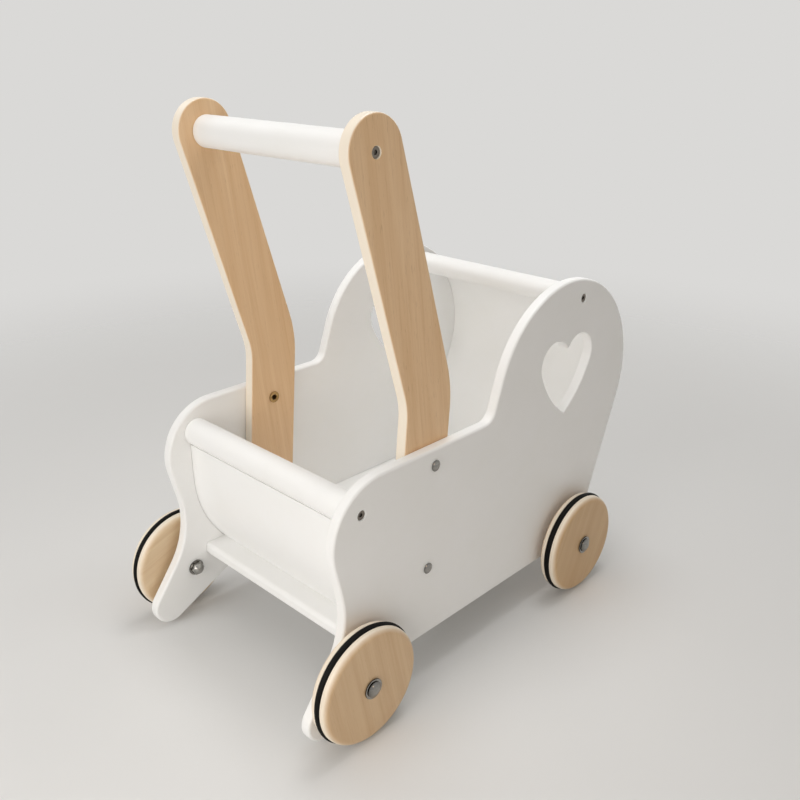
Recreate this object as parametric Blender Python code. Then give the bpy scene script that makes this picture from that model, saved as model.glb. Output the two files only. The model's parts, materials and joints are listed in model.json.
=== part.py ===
"""A wooden doll stroller: two shaped side panels joined by rails, a floor and bent end sheets,
two bolted arms with a handle bar, and four wheels on their own axle bolts.

Metres, +Z up, +X towards the hood, +Y to the left. The origin lies on the ground under the
middle of the stroller. Outlines are drawn in the XZ plane as tangent circles.
"""

import math

import bmesh
import bpy

# Gaps and facets
CLEARANCE = 0.0003
ARC_STEP = math.radians(12)
ROUND_STEPS = 2
LARGE_SEGMENTS = 36
SMALL_SEGMENTS = 12
SAME_POINT = 0.00003
SHARP_ANGLE = math.radians(32)

# Wheels and the parts on each axle bolt
REAR_AXLE_X = -0.1599
WHEELBASE = 0.2865
TYRE_RADIUS = 0.050
TYRE_SECTION_RADIUS = 0.003
TYRE_SECTION_SEGMENTS = 8
SEAT_STEPS = 6
TYRE_PROUD = 0.0015
WHEEL_THICKNESS = 0.018
WHEEL_ROUND = 0.005
WHEEL_STANDOFF = 0.0058
AXLE_BOLT_RADIUS = 0.003
AXLE_HEAD_RADIUS = 0.0066
AXLE_HEAD_HEIGHT = 0.003
HUB_WASHER_RADIUS = 0.0085
SPACER_RADIUS = 0.008
INNER_WASHER_RADIUS = 0.0074
WASHER_THICKNESS = 0.0012
CAP_NUT_RADIUS = 0.006
CAP_NUT_SHOULDER = 0.0035
CAP_NUT_DOME = 0.003
CAP_NUT_WALL = 0.0015

# Side panels: the circles that shape the outline
BODY_WIDTH = 0.224
PANEL_THICKNESS = 0.010
PANEL_ROUND = 0.0022
RIM_HEIGHT = 0.212
BOTTOM_HEIGHT = 0.041
CROWN_X = -0.1249
CROWN_RADIUS = 0.050
WAIST_RADIUS = 0.080
STRAIGHT_ABOVE_WAIST = 0.0266
STRAIGHT_BELOW_WAIST = 0.0345
FOOT_BEHIND_AXLE = 0.028
FOOT_HEIGHT = 0.021
FOOT_RADIUS = 0.017
LEG_HOLLOW_X = -0.1029
LEG_HOLLOW_RADIUS = 0.030
FRONT_FOOT_RADIUS = 0.026
FRONT_HOLLOW_RADIUS = 0.010
HOOD_X = 0.1105
HOOD_HEIGHT = 0.2135
HOOD_RADIUS = 0.0993
HOOD_FLARE = 0.003
NOTCH_RADIUS = 0.012

# Heart cut-out in each side panel
HEART_LOBE_ABOVE_HOOD = 0.0269
HEART_LOBE_RADIUS = 0.020
HEART_LOBE_SPACING = 0.037
HEART_TIP_DROP = 0.0498
HEART_TIP_RADIUS = 0.002
HEART_SIDE_RADIUS = 0.100
HEART_NOTCH_RADIUS = 0.0025
HEART_ROUND = 0.0015

# Bed: floor board and bent end sheets, held in channels in the side panels
CHANNEL_DEPTH = 0.004
FLOOR_ABOVE_WASHERS = 0.0004
FLOOR_THICKNESS = 0.012
FLOOR_REAR_X = -0.1464
FLOOR_REAR_ROUND = 0.004
SHEET_THICKNESS = 0.003
FRONT_SHEET_INSET = 0.004
FRONT_SHEET_TOP_ANGLE = math.radians(47)
REAR_SHEET_BEHIND_RAIL = 0.0068
REAR_SHEET_BEND_BELOW_RIM = 0.070
REAR_SHEET_BEND_RADIUS = 0.110

# Rails between the side panels
HOOD_DOWEL_FORWARD = 0.0192
HOOD_DOWEL_ABOVE = 0.0797
HOOD_DOWEL_RADIUS = 0.010
REAR_DOWEL_BEHIND = 0.0207
REAR_DOWEL_ABOVE = 0.0231
REAR_DOWEL_RADIUS = 0.01225

# Arms and handle bar
ARM_WIDTH = 0.0505
ARM_THICKNESS = 0.010
ARM_ROUND = 0.0014
ARM_LOWER_BOLT_X = -0.0734
ARM_LOWER_BOLT_ABOVE_FLOOR = 0.0363
ARM_UPPER_BOLT_X = -0.0657
ARM_UPPER_BOLT_BELOW_RIM = 0.0147
ARM_BEND_ABOVE_RIM = 0.039
ARM_BEND_RADIUS = 0.080
ARM_CORNER_RADIUS = 0.006
HANDLE_X = -0.1167
HANDLE_HEIGHT = 0.4398
HANDLE_BAR_RADIUS = 0.01275
BAR_CHAMFER = 0.001

# Countersunk screws in the ends of the round bars
SCREW_RADIUS = 0.002
SCREW_HEAD_RADIUS = 0.0039
SCREW_HEAD_DEPTH = 0.003
SCREW_SUNK = 0.0012
SCREW_LENGTH = 0.040
SCREW_POINT = 0.004

# Bolts and sleeve nuts that hold the arms
ARM_BOLT_RADIUS = 0.003
ARM_BOLT_HEAD_RADIUS = 0.0047
ARM_BOLT_HEAD_HEIGHT = 0.0016
ARM_BOLT_LENGTH = 0.0165
SLEEVE_RADIUS = 0.0045
SLEEVE_LENGTH = 0.008
SLEEVE_FLANGE_RADIUS = 0.0054
SLEEVE_FLANGE_THICKNESS = 0.0009

# Places worked out from the sizes above
LEFT = 1
RIGHT = -1
CONVEX = 1
HOLLOW = -1
AXLE_HEIGHT = TYRE_RADIUS
WHEEL_RADIUS = TYRE_RADIUS - TYRE_PROUD
FRONT_AXLE_X = REAR_AXLE_X + WHEELBASE
PANEL_OUTER_Y = BODY_WIDTH / 2
PANEL_INNER_Y = PANEL_OUTER_Y - PANEL_THICKNESS
CHANNEL_FLOOR_Y = PANEL_INNER_Y + CHANNEL_DEPTH
BED_HALF_WIDTH = CHANNEL_FLOOR_Y - CLEARANCE
ARM_OUTER_Y = PANEL_INNER_Y - CLEARANCE
ARM_INNER_Y = ARM_OUTER_Y - ARM_THICKNESS
FLOOR_HEIGHT = AXLE_HEIGHT + INNER_WASHER_RADIUS + FLOOR_ABOVE_WASHERS
FLOOR_TOP = FLOOR_HEIGHT + FLOOR_THICKNESS
HOOD_DOWEL_AXIS = (HOOD_X + HOOD_DOWEL_FORWARD, HOOD_HEIGHT + HOOD_DOWEL_ABOVE)
CROWN_HEIGHT = RIM_HEIGHT - CROWN_RADIUS
REAR_DOWEL_AXIS = (CROWN_X - REAR_DOWEL_BEHIND, CROWN_HEIGHT + REAR_DOWEL_ABOVE)
REAR_SHEET_BEND_HEIGHT = RIM_HEIGHT - REAR_SHEET_BEND_BELOW_RIM
ARM_LOWER_BOLT = (ARM_LOWER_BOLT_X, FLOOR_TOP + ARM_LOWER_BOLT_ABOVE_FLOOR)
ARM_UPPER_BOLT = (ARM_UPPER_BOLT_X, RIM_HEIGHT - ARM_UPPER_BOLT_BELOW_RIM)
ARM_BEND_HEIGHT = RIM_HEIGHT + ARM_BEND_ABOVE_RIM
HANDLE_AXIS = (HANDLE_X, HANDLE_HEIGHT)
ARM_BOLTS = {"upper": ARM_UPPER_BOLT, "lower": ARM_LOWER_BOLT}
AXLES = {"rear": (REAR_AXLE_X, AXLE_HEIGHT), "front": (FRONT_AXLE_X, AXLE_HEIGHT)}
SIDES = {"right": RIGHT, "left": LEFT}

# Finishes: colour, roughness, metallic
WHITE_PAINT = ((0.86, 0.85, 0.82, 1.0), 0.45, 0.0)
BIRCH = ((0.66, 0.47, 0.28, 1.0), 0.50, 0.0)
RUBBER = ((0.015, 0.015, 0.015, 1.0), 0.60, 0.0)
ZINC = ((0.62, 0.62, 0.60, 1.0), 0.30, 1.0)
DARK_STEEL = ((0.18, 0.17, 0.16, 1.0), 0.40, 1.0)
BRASS = ((0.60, 0.45, 0.25, 1.0), 0.35, 1.0)


# Outlines

def tangent_direction(first, second):
    """Angle of the straight line that leaves one circle and joins the next."""
    x1, z1, r1, turn1 = first
    x2, z2, r2, turn2 = second
    distance = math.hypot(x2 - x1, z2 - z1)
    lean = (turn1 * r1 - turn2 * r2) / distance
    return math.atan2(z2 - z1, x2 - x1) + math.asin(max(-1.0, min(1.0, lean)))


def arc(x, z, radius, start, sweep):
    """Points on a circle from the start angle through the sweep, ends included."""
    steps = max(2, math.ceil(abs(sweep) / ARC_STEP))
    angles = [start + sweep * step / steps for step in range(steps + 1)]
    return [(x + radius * math.cos(a), z + radius * math.sin(a)) for a in angles]


def belt(circles, inset=0.0):
    """Closed outline that runs anticlockwise round the circles like a belt.

    Each circle is (x, z, radius, turn): CONVEX ones bulge out, HOLLOW ones bite in.
    The inset moves the whole outline inwards.
    """
    count = len(circles)
    directions = [tangent_direction(circles[i], circles[(i + 1) % count]) for i in range(count)]
    points = []
    for i, (x, z, radius, turn) in enumerate(circles):
        sweep = (turn * (directions[i] - directions[i - 1])) % math.tau
        if sweep > math.tau - 1e-6:
            sweep = 0.0
        start = directions[i - 1] - turn * math.pi / 2
        points += arc(x, z, radius - turn * inset, start, turn * sweep)
    return [points[i] for i in range(len(points)) if math.dist(points[i], points[i - 1]) > SAME_POINT]


def offset_point(point, direction, distance):
    """Point moved by a distance to the left of a direction."""
    return (point[0] - math.sin(direction) * distance, point[1] + math.cos(direction) * distance)


def meeting_point(first, first_reach, second, second_reach):
    """Point at given distances from two points, to the left of the line from the first to the second."""
    length = math.dist(first, second)
    direction = math.atan2(second[1] - first[1], second[0] - first[0])
    along = (first_reach ** 2 - second_reach ** 2 + length ** 2) / (2 * length)
    foot = (first[0] + along * math.cos(direction), first[1] + along * math.sin(direction))
    return offset_point(foot, direction, math.sqrt(first_reach ** 2 - along ** 2))


def circle_outline(centre, radius, segments=SMALL_SEGMENTS):
    """Points round a full circle, anticlockwise."""
    angles = [math.tau * i / segments for i in range(segments)]
    return [(centre[0] + radius * math.cos(a), centre[1] + radius * math.sin(a)) for a in angles]


def front_foot_circle():
    return (FRONT_AXLE_X, AXLE_HEIGHT, FRONT_FOOT_RADIUS, CONVEX)


def hood_circle():
    return (HOOD_X, HOOD_HEIGHT, HOOD_RADIUS, CONVEX)


def waist_circle(crown, foot):
    """Hollow behind the crown, set by the straight stretches above and below it."""
    above = math.hypot(crown[2] + WAIST_RADIUS, STRAIGHT_ABOVE_WAIST)
    below = math.hypot(foot[2] + WAIST_RADIUS, STRAIGHT_BELOW_WAIST)
    return (*meeting_point(foot[:2], below, crown[:2], above), WAIST_RADIUS, HOLLOW)


def panel_circles():
    """Circles round the side panel, from the front foot over the hood to the rear leg."""
    notch_x = HOOD_X - HOOD_RADIUS - NOTCH_RADIUS - HOOD_FLARE
    front_hollow_height = BOTTOM_HEIGHT - FRONT_HOLLOW_RADIUS
    reach = FRONT_FOOT_RADIUS + FRONT_HOLLOW_RADIUS
    front_hollow_x = FRONT_AXLE_X - math.sqrt(reach ** 2 - (AXLE_HEIGHT - front_hollow_height) ** 2)
    crown = (CROWN_X, CROWN_HEIGHT, CROWN_RADIUS, CONVEX)
    foot = (REAR_AXLE_X - FOOT_BEHIND_AXLE, FOOT_HEIGHT, FOOT_RADIUS, CONVEX)
    return [
        front_foot_circle(),
        hood_circle(),
        (notch_x, RIM_HEIGHT + NOTCH_RADIUS, NOTCH_RADIUS, HOLLOW),
        crown,
        waist_circle(crown, foot),
        foot,
        (LEG_HOLLOW_X, BOTTOM_HEIGHT - LEG_HOLLOW_RADIUS, LEG_HOLLOW_RADIUS, HOLLOW),
        (front_hollow_x, front_hollow_height, FRONT_HOLLOW_RADIUS, HOLLOW),
    ]


def heart_circles():
    """Circles round the heart: right lobe, notch, left lobe, left side, tip and right side."""
    x = HOOD_X
    lobe_height = HOOD_HEIGHT + HEART_LOBE_ABOVE_HOOD
    half = HEART_LOBE_SPACING / 2
    reach = HEART_LOBE_RADIUS + HEART_NOTCH_RADIUS
    notch_height = lobe_height + math.sqrt(reach ** 2 - half ** 2)
    right_lobe = (x + half, lobe_height, HEART_LOBE_RADIUS, CONVEX)
    notch = (x, notch_height, HEART_NOTCH_RADIUS, HOLLOW)
    left_lobe = (x - half, lobe_height, HEART_LOBE_RADIUS, CONVEX)
    tip = (x, lobe_height - HEART_TIP_DROP, HEART_TIP_RADIUS, CONVEX)
    lobe_reach = HEART_SIDE_RADIUS - HEART_LOBE_RADIUS
    tip_reach = HEART_SIDE_RADIUS - HEART_TIP_RADIUS
    left_centre = meeting_point(left_lobe[:2], lobe_reach, tip[:2], tip_reach)
    right_centre = meeting_point(tip[:2], tip_reach, right_lobe[:2], lobe_reach)
    left_side = (*left_centre, HEART_SIDE_RADIUS, CONVEX)
    right_side = (*right_centre, HEART_SIDE_RADIUS, CONVEX)
    return [right_lobe, notch, left_lobe, left_side, tip, right_side]


def arm_circles():
    """Circles round an arm: lower corners, the bend and the round top about the handle bar."""
    rise = ARM_UPPER_BOLT[1] - ARM_LOWER_BOLT[1]
    slope = (ARM_UPPER_BOLT[0] - ARM_LOWER_BOLT[0]) / rise
    half = ARM_WIDTH / 2

    def centre_x(height):
        return ARM_LOWER_BOLT[0] + slope * (height - ARM_LOWER_BOLT[1])

    corner = (centre_x(ARM_BEND_HEIGHT), ARM_BEND_HEIGHT)
    lower = math.atan2(1.0, slope)
    upper = math.atan2(HANDLE_HEIGHT - corner[1], HANDLE_X - corner[0])
    half_turn = (upper - lower) / 2
    bend = offset_point(corner, lower + half_turn, ARM_BEND_RADIUS / math.cos(half_turn))
    end_height = FLOOR_TOP + CLEARANCE + ARM_CORNER_RADIUS
    end_half = half / math.sin(lower) - ARM_CORNER_RADIUS
    return [
        (centre_x(end_height) + end_half, end_height, ARM_CORNER_RADIUS, CONVEX),
        (*bend, ARM_BEND_RADIUS + half, CONVEX),
        (*HANDLE_AXIS, half, CONVEX),
        (*bend, ARM_BEND_RADIUS - half, HOLLOW),
        (centre_x(end_height) - end_half, end_height, ARM_CORNER_RADIUS, CONVEX),
    ]


def front_sheet_side(depth, low, end_gap=0.0):
    """One face of the front sheet, from a height up the front edge and round the hood.

    The depth is measured inwards from the panel's outline.
    """
    direction = tangent_direction(front_foot_circle(), hood_circle())
    normal = direction - math.pi / 2
    radius = HOOD_RADIUS - depth
    x = HOOD_X + radius * math.cos(normal)
    z = HOOD_HEIGHT + radius * math.sin(normal)
    foot = (x + (low - z) / math.tan(direction), low)
    top_angle = FRONT_SHEET_TOP_ANGLE + end_gap / radius
    return [foot] + arc(HOOD_X, HOOD_HEIGHT, radius, normal, top_angle - normal)


def rear_sheet_side(depth, low, high):
    """One face of the rear sheet, from the top down to a height. Depth 0 is its outer face."""
    x = REAR_DOWEL_AXIS[0] - REAR_SHEET_BEHIND_RAIL + depth
    radius = REAR_SHEET_BEND_RADIUS - depth
    centre_x = x + radius
    sweep = math.asin((REAR_SHEET_BEND_HEIGHT - low) / radius)
    return [(x, high)] + arc(centre_x, REAR_SHEET_BEND_HEIGHT, radius, math.pi, sweep)


def rear_sheet_top():
    """Height where the rear sheet meets the underside of the rear dowel."""
    near = REAR_SHEET_BEHIND_RAIL - SHEET_THICKNESS
    reach = REAR_DOWEL_RADIUS + CLEARANCE
    return REAR_DOWEL_AXIS[1] - math.sqrt(max(reach ** 2 - near ** 2, 0.0))


def front_sheet_outline():
    outer = front_sheet_side(FRONT_SHEET_INSET, FLOOR_HEIGHT)
    inner = front_sheet_side(FRONT_SHEET_INSET + SHEET_THICKNESS, FLOOR_HEIGHT)
    return outer + inner[::-1]


def rear_sheet_outline():
    low = FLOOR_TOP + CLEARANCE
    outer = rear_sheet_side(0.0, low, rear_sheet_top())
    inner = rear_sheet_side(SHEET_THICKNESS, low, rear_sheet_top())
    return outer + inner[::-1]


def floor_rear_edge(gap):
    """Rounded rear edge of the floor board, from its top face down to its underside."""
    radius = FLOOR_REAR_ROUND + gap
    x = FLOOR_REAR_X + FLOOR_REAR_ROUND
    upper = arc(x, FLOOR_TOP - FLOOR_REAR_ROUND, radius, math.pi / 2, math.pi / 2)
    lower = arc(x, FLOOR_HEIGHT + FLOOR_REAR_ROUND, radius, math.pi, math.pi / 2)
    return upper + lower


def floor_outline():
    """Section of the floor board; its front edge lies against the front sheet."""
    depth = FRONT_SHEET_INSET + SHEET_THICKNESS + CLEARANCE
    front_low = front_sheet_side(depth, FLOOR_HEIGHT)[0]
    front_high = front_sheet_side(depth, FLOOR_TOP)[0]
    return floor_rear_edge(0.0) + [front_low, front_high]


def channel_outline():
    """Routed channel that takes the edges of the floor and both sheets, with clearance all round."""
    gap = CLEARANCE
    low = FLOOR_HEIGHT - gap
    high = FLOOR_TOP + gap
    top = rear_sheet_top() + gap
    rear_outer = rear_sheet_side(-gap, high, top)
    rear_inner = rear_sheet_side(SHEET_THICKNESS + gap, high, top)
    front_outer = front_sheet_side(FRONT_SHEET_INSET - gap, low, gap)
    front_inner = front_sheet_side(FRONT_SHEET_INSET + SHEET_THICKNESS + gap, high, gap)
    return rear_outer + floor_rear_edge(gap) + front_outer + front_inner[::-1] + rear_inner[::-1]


# Meshes

def add_loop(bm, points, y):
    """Ring of vertices at one Y, joined by edges."""
    verts = [bm.verts.new((x, y, z)) for x, z in points]
    edges = [bm.edges.new((verts[i - 1], verts[i])) for i in range(len(verts))]
    return verts, edges


def add_wall(bm, levels):
    """Wall through outlines at several Y levels. Returns the edges of its first and last loops."""
    loops = [add_loop(bm, points, y) for points, y in levels]
    for (lower, _), (upper, _) in zip(loops, loops[1:]):
        for i in range(len(lower)):
            bm.faces.new((lower[i - 1], lower[i], upper[i], upper[i - 1]))
    return loops[0][1], loops[-1][1]


def fill(bm, *edge_loops):
    """Flat face inside the first loop and outside the others."""
    edges = [edge for loop in edge_loops for edge in loop]
    bmesh.ops.triangle_fill(bm, use_beauty=True, use_dissolve=False, edges=edges)


def rounded_levels(circles, y_start, y_end, radius, grow):
    """Levels of an outline whose two edges are rounded over; grow is -1 for a solid, 1 for a hole."""
    side = 1 if y_end > y_start else -1
    turns = [math.pi / 2 * step / ROUND_STEPS for step in range(ROUND_STEPS + 1)]
    bands = [(radius * (1 - math.sin(a)), radius * (1 - math.cos(a))) for a in turns]
    first = [(belt(circles, -grow * back), y_start + side * deep) for back, deep in bands]
    last = [(belt(circles, -grow * back), y_end - side * deep) for back, deep in bands]
    return first + last[::-1]


def countersink_levels(centre, y_outer, y_inner):
    """Levels of a screw hole: a straight mouth, a cone for the sunk head and the shank's bore."""
    side = 1 if y_inner > y_outer else -1
    head = circle_outline(centre, SCREW_HEAD_RADIUS + CLEARANCE)
    shank = circle_outline(centre, SCREW_RADIUS + CLEARANCE)
    y_head = y_outer + side * SCREW_SUNK
    return [(head, y_outer), (head, y_head), (shank, y_head + side * SCREW_HEAD_DEPTH), (shank, y_inner)]


def bore_levels(centre, radius, y_outer, y_inner):
    """Levels of a plain round hole."""
    outline = circle_outline(centre, radius)
    return [(outline, y_outer), (outline, y_inner)]


def finish_mesh(bm, name):
    """Mesh from a bmesh, with its faces pointing out and its round stretches smooth."""
    bmesh.ops.recalc_face_normals(bm, faces=bm.faces)
    mesh = bpy.data.meshes.new(name)
    bm.to_mesh(mesh)
    bm.free()
    mesh.shade_smooth()
    mesh.set_sharp_from_angle(angle=SHARP_ANGLE)
    return mesh


def side_panel_mesh(name, side):
    """Side panel with rounded edges, a heart, screw and bolt holes, and the routed channel."""
    outer, inner = side * PANEL_OUTER_Y, side * PANEL_INNER_Y
    bm = bmesh.new()
    walls = [add_wall(bm, rounded_levels(panel_circles(), outer, inner, PANEL_ROUND, -1))]
    walls.append(add_wall(bm, rounded_levels(heart_circles(), outer, inner, HEART_ROUND, 1)))
    for centre in (HOOD_DOWEL_AXIS, REAR_DOWEL_AXIS):
        walls.append(add_wall(bm, countersink_levels(centre, outer, inner)))
    for centre in ARM_BOLTS.values():
        walls.append(add_wall(bm, bore_levels(centre, ARM_BOLT_RADIUS + CLEARANCE, outer, inner)))
    for centre in AXLES.values():
        walls.append(add_wall(bm, bore_levels(centre, AXLE_BOLT_RADIUS + CLEARANCE, outer, inner)))
    channel = channel_outline()
    mouth, bed = add_wall(bm, [(channel, inner), (channel, side * CHANNEL_FLOOR_Y)])
    fill(bm, *[first for first, _ in walls])
    fill(bm, *[last for _, last in walls], mouth)
    fill(bm, bed)
    return finish_mesh(bm, name)


def arm_mesh(name, side):
    """Arm with rounded edges, two stepped bolt holes and a screw hole for the handle bar."""
    outer, inner = side * ARM_OUTER_Y, side * ARM_INNER_Y
    step_y = inner + side * (SLEEVE_LENGTH + CLEARANCE)
    bm = bmesh.new()
    walls = [add_wall(bm, rounded_levels(arm_circles(), outer, inner, ARM_ROUND, -1))]
    walls.append(add_wall(bm, countersink_levels(HANDLE_AXIS, outer, inner)))
    for centre in ARM_BOLTS.values():
        narrow = circle_outline(centre, ARM_BOLT_RADIUS + CLEARANCE)
        wide = circle_outline(centre, SLEEVE_RADIUS + CLEARANCE)
        walls.append(add_wall(bm, [(narrow, outer), (narrow, step_y), (wide, step_y), (wide, inner)]))
    fill(bm, *[first for first, _ in walls])
    fill(bm, *[last for _, last in walls])
    return finish_mesh(bm, name)


def slab_mesh(name, outline, half_width):
    """Section drawn in XZ, carried straight across the stroller."""
    bm = bmesh.new()
    first, last = add_wall(bm, [(outline, -half_width), (outline, half_width)])
    fill(bm, first)
    fill(bm, last)
    return finish_mesh(bm, name)


def turned_mesh(name, profile, segments, ring=False):
    """Profile of (radius, y) points turned about Y. A ring's profile closes on itself."""
    bm = bmesh.new()
    angles = [math.tau * i / segments for i in range(segments)]
    rows = []
    for radius, y in profile:
        if radius > 0.0:
            rows.append([bm.verts.new((radius * math.cos(a), y, radius * math.sin(a))) for a in angles])
        else:
            rows.append([bm.verts.new((0.0, y, 0.0))] * segments)
    pairs = list(zip(rows, rows[1:]))
    if ring:
        pairs.append((rows[-1], rows[0]))
    for row, following in pairs:
        for i in range(segments):
            corners = [row[i - 1], row[i], following[i], following[i - 1]]
            bm.faces.new(list(dict.fromkeys(corners)))
    return finish_mesh(bm, name)


def dome(radius, height, base, steps=3):
    """Profile points of a domed head from its rim to its top on the axis."""
    turns = [math.pi / 2 * step / steps for step in range(steps + 1)]
    points = [(radius * math.cos(a), base + height * math.sin(a)) for a in turns]
    points[-1] = (0.0, base + height)
    return points


# Profiles of the turned pieces; y is measured outwards from the piece's own origin

def bar_profile(radius, half_length):
    """Round bar with chamfered ends and a pilot hole for a screw in each end."""
    hole = SCREW_RADIUS + CLEARANCE
    bottom = half_length - SCREW_LENGTH
    end = [(0.0, bottom), (hole, bottom), (hole, half_length)]
    end += [(radius - BAR_CHAMFER, half_length), (radius, half_length - BAR_CHAMFER)]
    return end + [(r, -y) for r, y in end[::-1]]


def screw_profile():
    """Countersunk screw, its flat head at y = 0 and its point inwards."""
    tip = -SCREW_LENGTH
    return [
        (0.0, tip),
        (SCREW_RADIUS, tip + SCREW_POINT),
        (SCREW_RADIUS, -SCREW_HEAD_DEPTH),
        (SCREW_HEAD_RADIUS, 0.0),
        (0.0, 0.0),
    ]


def dome_bolt_profile(radius, head_radius, head_height, length):
    """Dome-head bolt, its head seated at y = 0 and its shank inwards."""
    shank = [(0.0, -length), (radius, -length), (radius, 0.0)]
    return shank + dome(head_radius, head_height, 0.0)


def sleeve_nut_profile():
    """Flanged sleeve, open through its middle, with the flange's seat at y = 0."""
    bore = ARM_BOLT_RADIUS + CLEARANCE
    return [
        (bore, -SLEEVE_LENGTH),
        (SLEEVE_RADIUS, -SLEEVE_LENGTH),
        (SLEEVE_RADIUS, 0.0),
        (SLEEVE_FLANGE_RADIUS, 0.0),
        (SLEEVE_FLANGE_RADIUS, SLEEVE_FLANGE_THICKNESS),
        (bore, SLEEVE_FLANGE_THICKNESS),
    ]


def washer_profile(radius, thickness):
    """Flat washer on an axle bolt, its inner face at y = 0."""
    bore = AXLE_BOLT_RADIUS + CLEARANCE
    return [(bore, 0.0), (radius, 0.0), (radius, thickness), (bore, thickness)]


def cap_nut_profile():
    """Domed cap nut, its open face at y = 0 and its dome along +y."""
    bore = AXLE_BOLT_RADIUS + CLEARANCE
    bottom = CAP_NUT_SHOULDER + CAP_NUT_DOME - CAP_NUT_WALL
    hole = [(0.0, bottom), (bore, CAP_NUT_SHOULDER), (bore, 0.0)]
    return hole + [(CAP_NUT_RADIUS, 0.0)] + dome(CAP_NUT_RADIUS, CAP_NUT_DOME, CAP_NUT_SHOULDER)


def wheel_profile():
    """Wheel section: bore, rounded faces and the groove that seats the tyre."""
    half = WHEEL_THICKNESS / 2
    bore = AXLE_BOLT_RADIUS + CLEARANCE
    edge = WHEEL_RADIUS - WHEEL_ROUND
    seat_radius = TYRE_SECTION_RADIUS + CLEARANCE
    seat_centre = TYRE_RADIUS - TYRE_SECTION_RADIUS
    lip = math.acos((WHEEL_RADIUS - seat_centre) / seat_radius)
    turns = [math.pi / 2 * step / ROUND_STEPS for step in range(ROUND_STEPS + 1)]
    inner = [(edge + WHEEL_ROUND * math.sin(a), -half + WHEEL_ROUND * (1 - math.cos(a))) for a in turns]
    outer = [(r, -y) for r, y in inner[::-1]]
    sweep = math.tau - 2 * lip
    turns = [lip + sweep * step / SEAT_STEPS for step in range(SEAT_STEPS + 1)]
    seat = [(seat_centre + seat_radius * math.cos(a), -seat_radius * math.sin(a)) for a in turns]
    return [(bore, -half)] + inner + seat + outer + [(bore, half)]


def tyre_profile():
    """Round section of the rubber ring."""
    centre = TYRE_RADIUS - TYRE_SECTION_RADIUS
    turns = [math.tau * step / TYRE_SECTION_SEGMENTS for step in range(TYRE_SECTION_SEGMENTS)]
    return [(centre + TYRE_SECTION_RADIUS * math.cos(a), TYRE_SECTION_RADIUS * math.sin(a)) for a in turns]


# Objects

def paint(name, finish):
    """Material of one piece."""
    colour, roughness, metallic = finish
    material = bpy.data.materials.new(name)
    material.use_nodes = True
    shader = material.node_tree.nodes["Principled BSDF"]
    shader.inputs["Base Color"].default_value = colour
    shader.inputs["Roughness"].default_value = roughness
    shader.inputs["Metallic"].default_value = metallic
    return material


def place(mesh, finish, parent, location=(0.0, 0.0, 0.0), side=LEFT):
    """Named object for a mesh. A piece on the right is turned half round to face outwards."""
    piece = bpy.data.objects.new(mesh.name, mesh)
    mesh.materials.append(paint(mesh.name, finish))
    piece.parent = parent
    piece.location = location
    if side == RIGHT:
        piece.rotation_euler.z = math.pi
    bpy.context.collection.objects.link(piece)
    return piece


def add_empty(name, location, parent=None):
    """Empty that carries pieces."""
    empty = bpy.data.objects.new(name, None)
    empty.location = location
    empty.parent = parent
    bpy.context.collection.objects.link(empty)
    return empty


def build_bed(body):
    """Side panels, floor, end sheets and rails with their screws."""
    for name, side in SIDES.items():
        place(side_panel_mesh(f"{name}_side_panel", side), WHITE_PAINT, body)
    place(slab_mesh("floor_board", floor_outline(), BED_HALF_WIDTH), WHITE_PAINT, body)
    place(slab_mesh("front_sheet", front_sheet_outline(), BED_HALF_WIDTH), WHITE_PAINT, body)
    place(slab_mesh("rear_sheet", rear_sheet_outline(), BED_HALF_WIDTH), WHITE_PAINT, body)
    half_length = PANEL_INNER_Y - CLEARANCE
    rails = {"hood": (HOOD_DOWEL_AXIS, HOOD_DOWEL_RADIUS), "rear": (REAR_DOWEL_AXIS, REAR_DOWEL_RADIUS)}
    for rail, ((x, z), radius) in rails.items():
        mesh = turned_mesh(f"{rail}_dowel", bar_profile(radius, half_length), LARGE_SEGMENTS // 2)
        place(mesh, WHITE_PAINT, body, (x, 0.0, z))
        for name, side in SIDES.items():
            screw = turned_mesh(f"{name}_{rail}_screw", screw_profile(), SMALL_SEGMENTS)
            place(screw, DARK_STEEL, body, (x, side * (PANEL_OUTER_Y - SCREW_SUNK), z), side)


def build_handle(body):
    """Arms, their bolts and sleeve nuts, and the handle bar with its screws."""
    half_length = ARM_INNER_Y - CLEARANCE
    bar = turned_mesh("handle_bar", bar_profile(HANDLE_BAR_RADIUS, half_length), LARGE_SEGMENTS // 2)
    place(bar, WHITE_PAINT, body, (HANDLE_X, 0.0, HANDLE_HEIGHT))
    bolt = dome_bolt_profile(ARM_BOLT_RADIUS, ARM_BOLT_HEAD_RADIUS, ARM_BOLT_HEAD_HEIGHT, ARM_BOLT_LENGTH)
    head_y = PANEL_OUTER_Y + CLEARANCE
    flange_y = ARM_INNER_Y - CLEARANCE
    for name, side in SIDES.items():
        place(arm_mesh(f"{name}_arm", side), BIRCH, body)
        screw = turned_mesh(f"{name}_handle_screw", screw_profile(), SMALL_SEGMENTS)
        place(screw, DARK_STEEL, body, (HANDLE_X, side * (ARM_OUTER_Y - SCREW_SUNK), HANDLE_HEIGHT), side)
        for level, (x, z) in ARM_BOLTS.items():
            mesh = turned_mesh(f"{name}_{level}_arm_bolt", bolt, SMALL_SEGMENTS)
            place(mesh, ZINC, body, (x, side * head_y, z), side)
            mesh = turned_mesh(f"{name}_{level}_arm_sleeve_nut", sleeve_nut_profile(), SMALL_SEGMENTS, True)
            place(mesh, BRASS, body, (x, side * flange_y, z), -side)


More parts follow.
